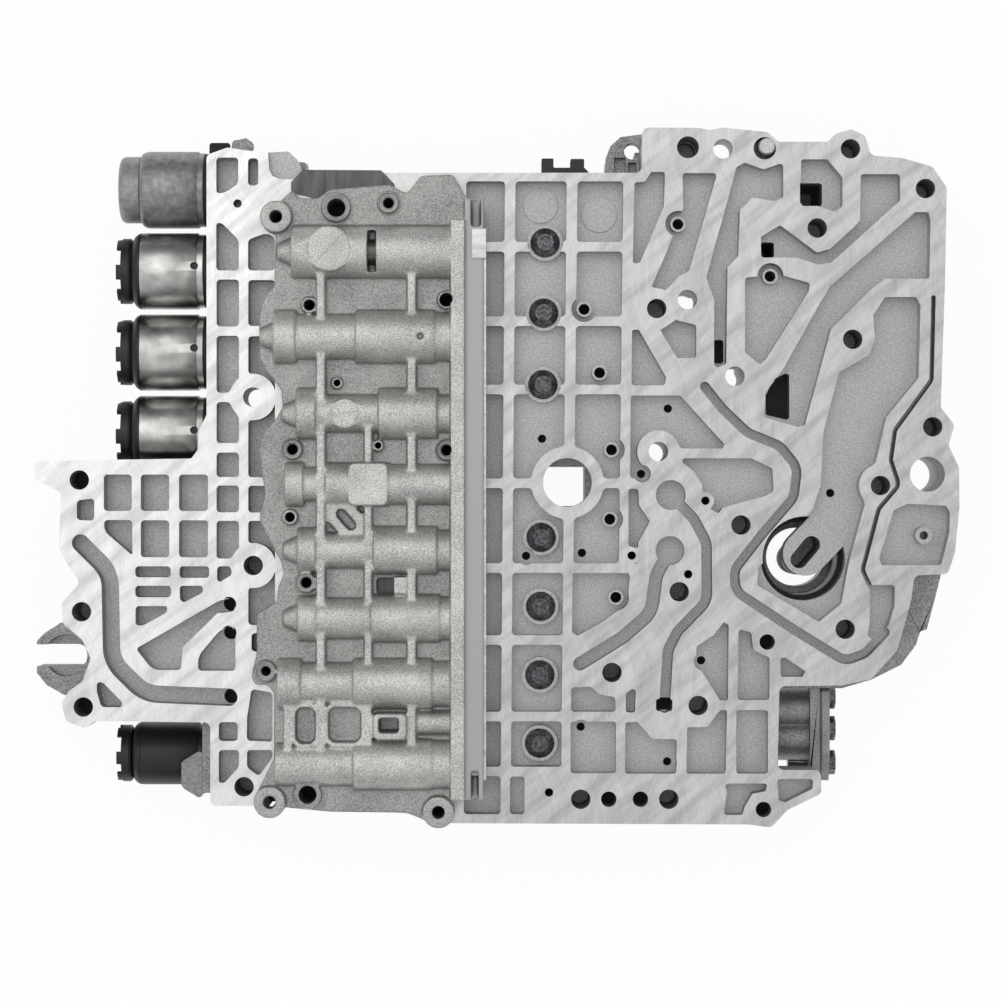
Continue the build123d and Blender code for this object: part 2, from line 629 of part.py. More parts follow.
# Outline of the upper housing's flange, clockwise from its top left corner
flange_outline = [
    (-109.5, 116.5), (-107, 113), (-99.5, 113), (-95, 116.5), (-71, 118.5), (-64, 114.8),
    (-58.5, 122), (-45.5, 122.5), (-41, 114), (-33.5, 112), (-33.5, -125.5), (-44, -126.5),
    (-58, -134), (-64, -131.5), (-95, -131), (-111, -129.5), (-124.5, -125), (-117, -110),
    (-116.8, -84), (-119.5, -80.5), (-124.5, -80.5), (-126, -77), (-123.8, -68), (-123.8, -52),
    (-115.8, -47.5), (-115, -41), (-113, -36.5), (-114.3, -31), (-120.5, -20), (-122.8, -14),
    (-120.5, -5), (-123, 14), (-121, 20), (-116, 25.5), (-113.5, 30), (-114, 37), (-119.5, 43.5),
    (-122.5, 49), (-123, 67), (-120.5, 74), (-116.8, 78), (-116.3, 97), (-116, 110),
]
flange_corner = 2.0
separator_tab = [(-110.5, 116), (-110.5, 120), (-106, 125), (-74.5, 124.8), (-68, 118), (-95, 112)]
flange_bosses = [(-51.5, -131), (-118.5, -127), (-116, 105.5)]
flange_boss_radius = 6.4
flange_boss_hole = 2.5
flange_boss_top = flange_top + 2.5
end_wall_x = (-46.5, -41.0)
band_ends_y = (-125.5, 112.0)
end_wall_end_y = 103.5

# Bulges over the bores of the upper housing: Y, then the ends and radius of each stretch
upper_bulges = [
    (91.5, [(-109.5, -46, 10.3)]),
    (57.8, [(-116.5, -108, 10.4), (-108, -84, 8.8), (-84, -53, 10.4), (-53, -46, 9.5)]),
    (27.3, [(-107.5, -100, 10), (-100, -75, 7.3), (-75, -64.5, 10), (-64.5, -52, 9.8), (-52, -46, 7.3)]),
    (-0.8, [(-112, -105, 8.7), (-105, -96, 6.5), (-96, -71, 8.4), (-71, -46, 7.8)]),
    (-27, [(-107, -100, 8.8), (-100, -77, 7), (-77, -52, 9.4), (-52, -46, 7.8)]),
    (-54, [(-107, -100, 9), (-100, -78, 8), (-78, -51, 9.3), (-51, -46, 8.3)]),
    (-80, [(-115, -106, 10), (-106, -85, 8.3), (-85, -54, 10), (-54, -46, 8.8)]),
    (-112, [(-116, -85, 8.3), (-85, -54, 10), (-54, -46, 9.3)]),
]
bore_lines_y = [y for y, stretches in upper_bulges]
nub_length = 6.0
nub_radii = (5.6, 3.0)
nub_lines = [(-109.5, 91.5), (-116.5, 57.8), (-107.5, 27.3), (-107, -27), (-107, -54)]
long_ribs = [(-97.9, 3.4, -109, 84), (-79.2, 3.0, -109, 22), (-62, 3.5, -115, 91), (-111, 3.0, -110, -85)]
recesses = [
    [(-106, -103.5), (-102, -103.5), (-100, -101.5), (-100, -91), (-102, -89), (-106, -89), (-108, -91),
     (-108, -101.5)],
    [(-93, -103), (-84, -103), (-82, -101), (-82, -91), (-84, -89), (-93, -89), (-95, -91), (-95, -101)],
]
recess_rim = 1.8
window_boss = (-77.0, -64.0, -101.5, -91.5)
window_box = (-75.0, -67.0, -99.0, -93.0)
bore_window = (-76.0, -69.0, -44.0, -38.0)
bore_slit = (-79.5, -76.0, 83.0, 100.0)
slit_depth = 6.0
band_slots = [(-38.5, -34.5, 101, 112.5), (-38.3, -35.5, -126, -114)]
band_slot_depth = 9.0
oval_boss_ends = ((-91.0, -11.5), (-85.0, -17.5))
oval_boss_width = 12.0
oval_slot_ends = ((-90.0, -12.5), (-86.0, -17.0))
oval_slot_width = 4.0
upper_holes = [
    ((-92, 109), 3.7, 5.6), ((-71.3, 111), 2.2, 4.2), ((-102.6, 70.3), 2.2, 3.2), ((-91.6, 39.4), 1.4, 2.2),
    ((-75.3, 14.6), 1.3, 2.2), ((-109.5, 13.1), 2.2, 4.0), ((-48.2, 12.8), 2.2, 4.0),
    ((-48.3, 72.4), 2.7, 3.5), ((-110.3, -13.8), 1.9, 3.0), ((-104, -39.8), 2.2, 4.0),
    ((-120, -75), 2.0, 4.2), ((-103.4, -124), 3.6, 5.5),
]
crest_hole = ((-58.5, 57.6), 1.3, 14.6)
# Flat round marks on the bulges: centre, radius and height of the flat
bulge_discs = [((-94.5, 92.2), 9.0, 17.6), ((-88.4, 27.2), 6.0, 14.6)]
flat_block = (-87.0, -71.3, -9.2, 7.6, 16.6)
side_block = (-69.0, -63.0, -44.3, -37.5, 13.0)
short_bulge = (-59.5, -46.0, -95.4, 4.6)
upper_hole_depth = 8.0
upper_boss_top = flange_top + 4.0


def ring_cut(x, y, width, depth):
    """Cut a groove round a solenoid's nose in the part that is open."""
    with BuildSketch(Plane.YZ.offset(x)) as section:
        with Locations((y, lower_axis_z)):
            Circle(nose_radius + 1)
            Circle(nose_radius - depth, mode=Mode.SUBTRACT)
    extrude(section.sketch, amount=width, mode=Mode.SUBTRACT)


def bulge(x0, x1, y, radius):
    """Add a bore's bulge along X, with upright sides below the bore's axis."""
    with BuildSketch(Plane.YZ.offset(x0)) as section:
        with Locations((y, upper_axis_z)):
            Circle(radius)
        with Locations((y, (upper_axis_z + sheet_thickness) / 2)):
            Rectangle(2 * radius, upper_axis_z - sheet_thickness)
    extrude(section.sketch, amount=x1 - x0)


# Upper separator plate: the sheet between the channel plate and the upper housing
with BuildPart() as upper_separator_plate:
    with BuildSketch():
        outline(flange_outline, flange_corner)
        outline(separator_tab, corner)
        with Locations(*flange_bosses):
            Circle(flange_boss_radius)
    extrude(amount=sheet_thickness)
    posts(flange_bosses, flange_boss_hole, 0, sheet_thickness, Mode.SUBTRACT)
write(upper_separator_plate.part, "upper_separator_plate")

# Upper valve housing: a casting with eight bores along X that open in its milled end face
with BuildPart() as upper_valve_housing:
    with BuildSketch(Plane.XY.offset(sheet_thickness)):
        outline(flange_outline, flange_corner)
    extrude(amount=flange_thickness)
    posts(flange_bosses, flange_boss_radius, sheet_thickness, flange_boss_top)
    for y, stretches in upper_bulges:
        for x0, x1, radius in stretches:
            bulge(x0, x1, y, radius)
    for x, width, y0, y1 in long_ribs:
        block(x - width / 2, x + width / 2, y0, y1, sheet_thickness, rib_top)
    for x, y in nub_lines:
        with BuildSketch(Plane.YZ.offset(x)) as root:
            with Locations((y, upper_axis_z)):
                Circle(nub_radii[0])
        with BuildSketch(Plane.YZ.offset(x - nub_length)) as tip:
            with Locations((y, upper_axis_z)):
                Circle(nub_radii[1])
        loft([root.sketch, tip.sketch])
    for points in recesses:
        with BuildSketch(Plane.XY.offset(sheet_thickness)) as section:
            outline(points, 0)
            offset(amount=recess_rim, kind=Kind.INTERSECTION)
        extrude(section.sketch, amount=rib_top - sheet_thickness)
    block(*window_boss, sheet_thickness, end_wall_top - 1, radius=corner)
    block(*flat_block[:4], sheet_thickness, flat_block[4], radius=2.5)
    block(*side_block[:4], sheet_thickness, side_block[4])
    bulge(*short_bulge)
    for centre, radius, top in bulge_discs:
        posts([centre], radius, upper_axis_z, top)
        posts([centre], radius, top, end_wall_top + 1, Mode.SUBTRACT)
    long_hole(oval_boss_ends, oval_boss_width, sheet_thickness, upper_boss_top)
    for centre, radius, boss in upper_holes:
        posts([centre], boss, sheet_thickness, upper_boss_top)
    block(*end_wall_x, band_ends_y[0], end_wall_end_y, sheet_thickness, end_wall_top)
    block(end_wall_x[1], face_x, band_ends_y[0], band_ends_y[1], sheet_thickness, band_top)
    for points in recesses:
        prism(points, flange_top, rib_top, 0, Mode.SUBTRACT)
    for y in bore_lines_y:
        cylinder_x(bore_blind_x, face_x, y, upper_axis_z, spool_bore, Mode.SUBTRACT)
    block(*window_box, sheet_thickness + 3, end_wall_top, Mode.SUBTRACT)
    block(*bore_window, sheet_thickness, end_wall_top, Mode.SUBTRACT)
    block(*bore_slit, slit_depth, end_wall_top + 1, Mode.SUBTRACT)
    for x0, x1, y0, y1 in band_slots:
        block(x0, x1, y0, y1, band_top - band_slot_depth, band_top, Mode.SUBTRACT)
    long_hole(oval_slot_ends, oval_slot_width, flange_top - 2, upper_boss_top, Mode.SUBTRACT)
    for centre, radius, boss in upper_holes:
        posts([centre], radius, upper_boss_top - upper_hole_depth, upper_boss_top, Mode.SUBTRACT)
    posts([crest_hole[0]], crest_hole[1], crest_hole[2], end_wall_top + 1, Mode.SUBTRACT)
    posts(flange_bosses, flange_boss_hole, sheet_thickness, flange_boss_top, Mode.SUBTRACT)
    split(bisect_by=Plane.XY.offset(sheet_thickness), keep=Keep.TOP)
write(upper_valve_housing.part, "upper_valve_housing")

# Spool valves, their springs and the plugs that close the bores
spool_right_x = face_x - plug_length
spool_left_x = spool_right_x - spool_length
spool_lands = [(0, 9), (16, 9), (32, 12)]
for number, y in enumerate(bore_lines_y, start=1):
    with BuildPart() as spool:
        cylinder_x(spool_left_x, spool_right_x, y, upper_axis_z, spool_stem)
        for start, length in spool_lands:
            cylinder_x(spool_left_x + start, spool_left_x + start + length, y, upper_axis_z,
                       spool_bore - running_gap)
    write(spool.part, f"spool_valve_{number}")
    with BuildPart() as spring:
        tube_x(bore_blind_x, spool_left_x, y, upper_axis_z, spring_outer, spring_inner)
    write(spring.part, f"spool_spring_{number}")

with BuildPart() as bore_plugs:
    for y in bore_lines_y:
        cylinder_x(spool_right_x, face_x, y, upper_axis_z, spool_bore - plug_gap)
write(bore_plugs.part, "bore_plugs")

# Keeper strip: a bent sheet over the open ends of the bores
with BuildPart() as keeper_strip:
    block(face_x, face_x + keeper_thickness, *keeper_y, *keeper_z)
    block(face_x, face_x + keeper_thickness, *keeper_tab_y, keeper_z[1], band_top + keeper_thickness)
    block(keeper_tab_x, face_x, *keeper_tab_y, band_top, band_top + keeper_thickness)
write(keeper_strip.part, "keeper_strip")

# Lower separator plate: the sheet between the channel plate and the lower housing
with BuildPart() as lower_separator_plate:
    with BuildSketch(Plane.XY.offset(lower_top)):
        outline(plate_outline, 2.5)
        outline(clip_tab, corner)
    extrude(amount=sheet_thickness)
    posts([(0, 0)], central_hole + sheet_setback, lower_top, -plate_height, Mode.SUBTRACT)
    open_layer(lower_top, -plate_height, round_bore_lower)
    long_hole(port_ends, port_width, lower_top, -plate_height, Mode.SUBTRACT)
    posts(plate_screws_at, plate_screw_hole, lower_top, -plate_height, Mode.SUBTRACT)
    posts(housing_screws_at, housing_screw_hole, lower_top, -plate_height, Mode.SUBTRACT)
write(lower_separator_plate.part, "lower_separator_plate")

# Lower valve housing: a deck with bore bulges, ribs, bosses and feet under it
with BuildPart() as lower_valve_housing:
    with BuildSketch(Plane.XY.offset(deck_bottom)):
        outline(lower_outline, 2.0)
    extrude(amount=deck_thickness)
    for y, x0, x1, radius in lower_bulges:
        cylinder_x(x0, x1, y, lower_axis_z, radius)
    for x, y0, y1 in lower_ribs:
        block(x - lower_rib_width / 2, x + lower_rib_width / 2, y0, y1, lower_rib_bottom, deck_bottom)
    block(*solenoid_wall, solenoid_wall_bottom, lower_top)
    block(*black_solenoid_wall, solenoid_wall_bottom, lower_top)
    block(*central_box, solenoid_wall_bottom, lower_top)
    for (x0, y0), _, (x1, y1), _ in windows:
        block(x0 - well_wall, x1 + well_wall, y0 - well_wall, y1 + well_wall, well_bottom, deck_bottom)
    posts([shaft_hole_centre], shaft_hole + 4, lower_rib_bottom, deck_bottom)
    posts([round_bore_centre], round_bore_lower + 4, solenoid_wall_bottom, deck_bottom)
    posts(feet_at, foot_radius, feet_bottom, deck_bottom)
    posts(housing_screws_at, foot_radius, deck_bottom - screw_boss_drop, deck_bottom)
    prism(fork_outline, fork_bottom, fork_top, 1.5)
    block(*cover_flange, cover_z[0], cover_z[1])
    block(fork_outline_left, fork_gap_x, manual_y - fork_gap_half, manual_y + fork_gap_half, fork_bottom,
          fork_top, Mode.SUBTRACT)
    posts([(fork_gap_x, manual_y)], fork_gap_half, fork_bottom, fork_top, Mode.SUBTRACT)
    posts([(fork_scallop_x, manual_y)], fork_scallop, fork_top - fork_scallop_depth, fork_top,
          Mode.SUBTRACT)
    cylinder_x(fork_gap_x, manual_blind_x, manual_y, lower_axis_z, manual_radius + running_gap,
               Mode.SUBTRACT)
    for y in steel_solenoids_y + [black_solenoid_y]:
        cylinder_x(can_right_x, nose_right_x + 2, y, lower_axis_z, nose_radius + nose_gap, Mode.SUBTRACT)
    block(*central_opening, feet_bottom, lower_top, Mode.SUBTRACT)
    for window in windows:
        prism(window, well_bottom + well_wall, lower_top, corner, Mode.SUBTRACT)
    posts([shaft_hole_centre], shaft_hole, feet_bottom, lower_top, Mode.SUBTRACT)
    posts([round_bore_centre], round_bore_lower, ledge_z, lower_top, Mode.SUBTRACT)
    posts([round_bore_centre], round_bore_outlet, feet_bottom, ledge_z, Mode.SUBTRACT)
    long_hole(port_ends, port_width + 2 * port_wall, ledge_z, lower_top)
    long_hole([port_ends[0], tongue_ends[1]], port_width + 2 * port_wall, ledge_z, lower_top)
    long_hole(port_ends, port_width, ledge_z + 3, lower_top, Mode.SUBTRACT)
    posts([ear_hole_at], ear_hole, deck_bottom, lower_top, Mode.SUBTRACT)
    for pocket in ear_pockets:
        block(*pocket, lower_top - ear_pocket_depth, lower_top, Mode.SUBTRACT)
    posts(plate_screws_at, plate_screw_shank + running_gap, deck_bottom, lower_top, Mode.SUBTRACT)
    posts(housing_screws_at, housing_screw_hole, feet_bottom, lower_top, Mode.SUBTRACT)
    for y in cover_screws_y:
        cylinder_x(cover_flange[1] - cover_screw_depth, cover_flange[1], y, cover_screw_z,
                   cover_screw_shank, Mode.SUBTRACT)
write(lower_valve_housing.part, "lower_valve_housing")

# Solenoids: steel cans over moulded bobbins, with noses in the lower housing and sliding armatures
for number, y in enumerate(steel_solenoids_y + [black_solenoid_y], start=1):
    black = y == black_solenoid_y
    shell_radius = black_radius if black else can_radius
    with BuildPart() as can:
        cylinder_x(can_left_x, can_right_x, y, lower_axis_z, shell_radius)
        cylinder_x(can_left_x, can_right_x - can_end, y, lower_axis_z, shell_radius - can_wall,
                   Mode.SUBTRACT)
    write(can.part, f"solenoid_{number}_can")

    with BuildPart() as bobbin:
        cylinder_x(can_left_x - flange_ring, can_left_x, y, lower_axis_z, shell_radius)
        chamfer(bobbin.edges().filter_by(GeomType.CIRCLE).sort_by(Axis.X)[0], can_edge)
        cylinder_x(can_left_x, can_right_x - can_end, y, lower_axis_z, shell_radius - can_wall)
        cap_end = plain_cap_x if number == 1 else connector_left_x
        cap_radius = min(connector_radius, shell_radius - 2)
        cylinder_x(cap_end, can_left_x - flange_ring, y, lower_axis_z, cap_radius)
        if number > 1:
            block(cap_end, cap_end + socket_depth, y - socket_half, y + socket_half,
                  lower_axis_z - socket_half / 2, lower_axis_z + socket_half / 2, Mode.SUBTRACT)
            for side in (-1, 1):
                block(cap_end - 1, cap_end + notch_depth, y + side * notch_y - notch_half,
                      y + side * notch_y + notch_half, lower_axis_z + notch_floor,
                      lower_axis_z + connector_radius + 1, Mode.SUBTRACT)
        cylinder_x(armature_left_x, can_right_x - can_end, y, lower_axis_z, armature_radius + running_gap,
                   Mode.SUBTRACT)
    write(bobbin.part, f"solenoid_{number}_connector")

    with BuildPart() as armature:
        cylinder_x(armature_left_x, armature_left_x + armature_length, y, lower_axis_z, armature_radius)
    write(armature.part, f"solenoid_{number}_armature")

    with BuildPart() as nose:
        cylinder_x(can_right_x, nose_right_x, y, lower_axis_z, nose_radius)
        for start in nose_grooves:
            ring_cut(can_right_x + start, y, groove_width, groove_depth)
        cylinder_x(can_right_x + nose_wall, nose_right_x, y, lower_axis_z, nose_bore, Mode.SUBTRACT)
    write(nose.part, f"solenoid_{number}_nose")

with BuildPart() as seal_rings:
    for y in steel_solenoids_y + [black_solenoid_y]:
        for start in nose_grooves:
            tube_x(can_right_x + start + seal_gap, can_right_x + start + groove_width - seal_gap, y,
                   lower_axis_z, nose_radius, nose_radius - groove_depth)
write(seal_rings.part, "seal_rings")

# Clamp that holds the moulded solenoid against the lower housing
with BuildPart() as solenoid_clamp:
    prism(clamp_outline, clamp_z[0], clamp_z[1], corner)
    cylinder_x(can_left_x, can_right_x, black_solenoid_y, lower_axis_z, black_radius + clamp_gap,
               Mode.SUBTRACT)
write(solenoid_clamp.part, "solenoid_clamp")

# Manual valve: a long spool that slides out between the prongs of the fork
with BuildPart() as manual_valve:
    manual_right_x = fork_end_x + manual_length
    cylinder_x(fork_end_x, manual_right_x, manual_y, lower_axis_z, manual_stem)
    for start, length in manual_lands:
        cylinder_x(fork_end_x + start, fork_end_x + start + length, manual_y, lower_axis_z, manual_radius)
write(manual_valve.part, "manual_valve")

# Star-drive screws of the channel plate
with BuildPart() as plate_screws:
    head_bottom = -step_depth
    posts(plate_screws_at, plate_screw_head, head_bottom, head_bottom + plate_screw_head_height)
    chamfer(plate_screws.edges().group_by(Axis.Z)[-1], screw_edge)
    posts(plate_screws_at, plate_screw_shank, head_bottom - plate_screw_length, head_bottom)
    for x, y in plate_screws_at:
        with BuildSketch(Plane.XY.offset(head_bottom + plate_screw_head_height)) as socket:
            with Locations((x, y)):
                RegularPolygon(drive_socket, 6)
        extrude(socket.sketch, amount=-drive_socket_depth, mode=Mode.SUBTRACT)
write(plate_screws.part, "plate_screws")

# Flanged hexagon screws that join the layers from below
with BuildPart() as housing_screws:
    seat_z = deck_bottom - screw_boss_drop
    posts(housing_screws_at, housing_screw_shank, seat_z, -plate_height + housing_screw_engagement)
    posts(housing_screws_at, housing_screw_flange, seat_z - housing_flange_height, seat_z)
    for x, y in housing_screws_at:
        with BuildSketch(Plane.XY.offset(seat_z - housing_flange_height)) as hexagon:
            with Locations((x, y)):
                RegularPolygon(housing_screw_hex, 6)
        extrude(hexagon.sketch, amount=-housing_hex_height)
write(housing_screws.part, "housing_screws")

# Dowel pin in the ear side
with BuildPart() as dowel_pin:
    posts([dowel_at], dowel_radius, -blind_depth, dowel_stand)
    chamfer(dowel_pin.edges().group_by(Axis.Z)[-1], dowel_chamfer)
write(dowel_pin.part, "dowel_pin")

# Moulded harness clip on the upper edge of the channel plate
with BuildPart() as harness_clip:
    prism(harness_outline, *harness_z, 0.5)
write(harness_clip.part, "harness_clip")

# End cover of the two short bores, its gasket and screws
with BuildPart() as cover_gasket:
    with BuildSketch(Plane.YZ.offset(cover_flange[1])):
        outline(cover_outline, 2.0)
    extrude(amount=gasket_thickness)
    for y in cover_screws_y:
        cylinder_x(cover_flange[1], cover_inner_x, y, cover_screw_z, cover_screw_shank, Mode.SUBTRACT)
write(cover_gasket.part, "cover_gasket")

with BuildPart() as end_cover:
    with BuildSketch(Plane.YZ.offset(cover_inner_x)):
        outline(cover_outline, 2.0)
    extrude(amount=cover_thickness)
    for y in cover_screws_y:
        cylinder_x(cover_inner_x, cover_outer_x, y, cover_screw_z, cover_screw_shank, Mode.SUBTRACT)
write(end_cover.part, "end_cover")

with BuildPart() as cover_screws:
    for y in cover_screws_y:
        cylinder_x(cover_flange[1] - cover_screw_depth, cover_outer_x, y, cover_screw_z,
                   cover_screw_shank)
        with BuildSketch(Plane.YZ.offset(cover_outer_x)) as hexagon:
            with Locations((y, cover_screw_z)):
                RegularPolygon(cover_screw_hex, 6)
        extrude(hexagon.sketch, amount=cover_hex_height)
write(cover_screws.part, "end_cover_screws")
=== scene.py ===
"""Looks of a transmission valve body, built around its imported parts.

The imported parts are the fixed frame. Each visible surface gets its finish, the castings get their soft
edges, and the small things that a close look shows are added: rounded pocket corners, star sockets,
sleeves, connectors and coil springs. A pale floor, soft light and a camera straight above complete
the scene. Sizes and places are in millimetres where nothing else is said.
"""
import json
import logging
import math
from contextlib import contextmanager
from dataclasses import dataclass
from enum import Enum
from itertools import pairwise
from typing import Any, Callable, Iterator, NamedTuple, Sequence

import bpy
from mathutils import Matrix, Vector

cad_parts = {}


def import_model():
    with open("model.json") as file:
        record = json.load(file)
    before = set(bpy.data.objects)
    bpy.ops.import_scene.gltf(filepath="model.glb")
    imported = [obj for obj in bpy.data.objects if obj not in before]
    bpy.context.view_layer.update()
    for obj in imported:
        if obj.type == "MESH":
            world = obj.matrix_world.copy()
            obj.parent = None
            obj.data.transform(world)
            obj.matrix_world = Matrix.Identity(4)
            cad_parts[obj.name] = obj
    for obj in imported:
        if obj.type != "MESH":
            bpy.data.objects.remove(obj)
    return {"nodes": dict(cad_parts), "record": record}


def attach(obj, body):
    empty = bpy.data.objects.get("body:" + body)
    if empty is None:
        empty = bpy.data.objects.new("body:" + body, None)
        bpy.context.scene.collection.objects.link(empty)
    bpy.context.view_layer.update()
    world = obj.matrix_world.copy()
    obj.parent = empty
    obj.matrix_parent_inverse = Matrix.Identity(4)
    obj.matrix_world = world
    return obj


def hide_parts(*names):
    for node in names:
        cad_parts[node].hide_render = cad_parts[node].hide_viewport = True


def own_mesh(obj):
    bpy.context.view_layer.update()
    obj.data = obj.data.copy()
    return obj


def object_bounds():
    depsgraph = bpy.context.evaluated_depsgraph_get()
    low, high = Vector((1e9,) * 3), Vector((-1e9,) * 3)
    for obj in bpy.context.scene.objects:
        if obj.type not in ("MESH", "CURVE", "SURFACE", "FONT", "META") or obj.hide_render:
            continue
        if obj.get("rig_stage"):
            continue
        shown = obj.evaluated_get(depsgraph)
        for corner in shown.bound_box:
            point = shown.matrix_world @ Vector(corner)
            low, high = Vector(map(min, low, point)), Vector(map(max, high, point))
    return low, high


log = logging.getLogger("valve_body")

MM = 0.001
TOUCH_MM = 0.01
Point = tuple[float, float]
Points = tuple[Point, ...]
Triple = tuple[float, float, float]
Piece = bpy.types.Object
Material = bpy.types.Material


class Axis(Enum):
    """The direction in which a turned piece grows from its first ring."""

    UP = (0.0, 0.0, 0.0)
    RIGHT = (0.0, math.pi / 2, 0.0)


class Can(Enum):
    """The three makes of solenoid on the valve body."""

    PLAIN = "grey can with a plain cap"
    STEEL = "bright can with a notched connector"
    MOULDED = "black moulding with a notched connector"


class Corner(NamedTuple):
    """An upright inner corner: its foot, the direction into the pocket and its walls' angle."""

    x: float
    y: float
    foot: float
    turn: float
    angle: float


def linear(colour: str) -> tuple[float, float, float, float]:
    """Turn an sRGB hex colour to linear light.

    Args:
        colour: Six hex digits after a hash.

    Returns:
        Red, green, blue and alpha, in linear light.
    """
    shares = [int(colour[i:i + 2], 16) / 255 for i in (1, 3, 5)]
    values = [c / 12.92 if c <= 0.04045 else ((c + 0.055) / 1.055) ** 2.4 for c in shares]
    return (values[0], values[1], values[2], 1.0)


def per_mm(size: float) -> float:
    """Give the texture scale at which one feature of a pattern is size millimetres wide."""
    return 1.0 / (size * MM)


def fill(tree: Any, node: Any, inputs: dict[Any, Any]) -> None:
    """Set or link a node's inputs.

    Args:
        tree: The node tree.
        node: The node.
        inputs: What goes into each socket: a value, a socket, or a node for its first output.
    """
    for key, value in inputs.items():
        source = value.outputs[0] if isinstance(value, bpy.types.Node) else value
        if isinstance(source, bpy.types.NodeSocket):
            tree.links.new(source, node.inputs[key])
        else:
            node.inputs[key].default_value = source


def add_node(tree: Any, kind: str, inputs: dict[Any, Any] | None = None, **settings: Any) -> Any:
    """Add a node with its settings and links.

    Args:
        tree: The node tree.
        kind: The node's type name, without its ShaderNode beginning.
        inputs: What goes into each named or numbered socket, as fill has it.
        **settings: The node's own properties.

    Returns:
        The new node.
    """
    made = tree.nodes.new("ShaderNode" + kind)
    for name, value in settings.items():
        setattr(made, name, value)
    fill(tree, made, inputs or {})
    return made


def new_material(name: str) -> tuple[Material, Any, Any]:
    """Start a node material.

    Args:
        name: The material's name.

    Returns:
        The material, its tree and its Principled shader.
    """
    material = bpy.data.materials.new(name)
    material.use_nodes = True
    tree = material.node_tree
    return material, tree, tree.nodes["Principled BSDF"]


def ramp(tree: Any, value: Any, low: float, high: float, dark: str, light: str) -> Any:
    """Colour a value from dark at low to light at high.

    Args:
        tree: The node tree.
        value: The socket or node that gives the value.
        low: The value that gives the dark colour.
        high: The value that gives the light colour.
        dark: The hex colour at low.
        light: The hex colour at high.

    Returns:
        The colour's socket.
    """
    share = add_node(tree, "MapRange", {"Value": value, "From Min": low, "From Max": high}, clamp=True)
    colours = {0: share, 6: linear(dark), 7: linear(light)}
    return add_node(tree, "Mix", colours, data_type="RGBA").outputs[2]


@dataclass(frozen=True)
class CastAluminium:
    """Die-cast aluminium after shot-blasting: dull light grey with a fine salt-and-pepper grain."""

    name: str = "shot_blasted_cast_aluminium"
    dark: str = "#9c9c9a"
    light: str = "#e6e6e3"
    metallic: float = 0.85
    roughness: float = 0.5
    grain_mm: float = 0.55
    cloud_mm: float = 14.0
    bump: float = 0.35
    milled_from_x: float | None = None
    milled_face: str = "#b2b2b1"
    shade_below: Triple | None = None

    def material(self) -> Material:
        """Build the finish.

        Returns:
            The material. Past milled_from_x, in metres, the grain gives way to a milled face. The painted
            shade, darker towards the bottom, is given by the heights where it begins and is full, in metres,
            and the brightness that it leaves.
        """
        material, tree, shader = new_material(self.name)
        place = add_node(tree, "TexCoord").outputs["Object"]
        # The blasted grain is about 0.2 mm on the real casting and drawn coarser, so that it shows
        grain = add_node(tree, "TexNoise", {"Vector": place, "Scale": per_mm(self.grain_mm), "Detail": 3.0})
        cloud = add_node(tree, "TexNoise", {"Vector": place, "Scale": per_mm(self.cloud_mm), "Detail": 4.0})
        both = add_node(tree, "Math", {0: cloud, 1: 0.35, 2: -0.17}, operation="MULTIPLY_ADD")
        value = add_node(tree, "Math", {0: grain, 1: both}, operation="ADD")
        colour = ramp(tree, value, 0.3, 0.7, self.dark, self.light)
        height = add_node(tree, "Bump", {"Height": grain, "Strength": self.bump, "Distance": 0.15 * MM})
        split = add_node(tree, "SeparateXYZ", {0: place})
        # Painted shade: the colour darkens towards black from one height down to a lower one, as the shade on
        # the casting's low parts
        if self.shade_below is not None:
            unshaded_z, full_shade_z, left = self.shade_below
            span = {"Value": split.outputs[2], "From Min": full_shade_z, "From Max": unshaded_z, "To Min": left,
                    "To Max": 1.0}
            level = add_node(tree, "MapRange", span, clamp=True)
            shaded_mix = {0: level, 6: linear("#000000"), 7: colour}
            colour = add_node(tree, "Mix", shaded_mix, data_type="RGBA").outputs[2]
        if self.milled_from_x is not None:
            first, last = self.milled_from_x, self.milled_from_x + 0.2 * MM
            edge = {"Value": split.outputs[0], "From Min": first, "From Max": last}
            milled = add_node(tree, "MapRange", edge, clamp=True)
            tint = {0: milled, 6: colour, 7: linear(self.milled_face)}
            colour = add_node(tree, "Mix", tint, data_type="RGBA").outputs[2]
            less = add_node(tree, "Math", {0: milled, 1: -0.85, 2: 1.0}, operation="MULTIPLY_ADD")
            fill(tree, height, {"Strength": less})
        fill(tree, shader, {"Base Color": colour, "Normal": height, "Metallic": self.metallic,
                            "Roughness": self.roughness})
        return material


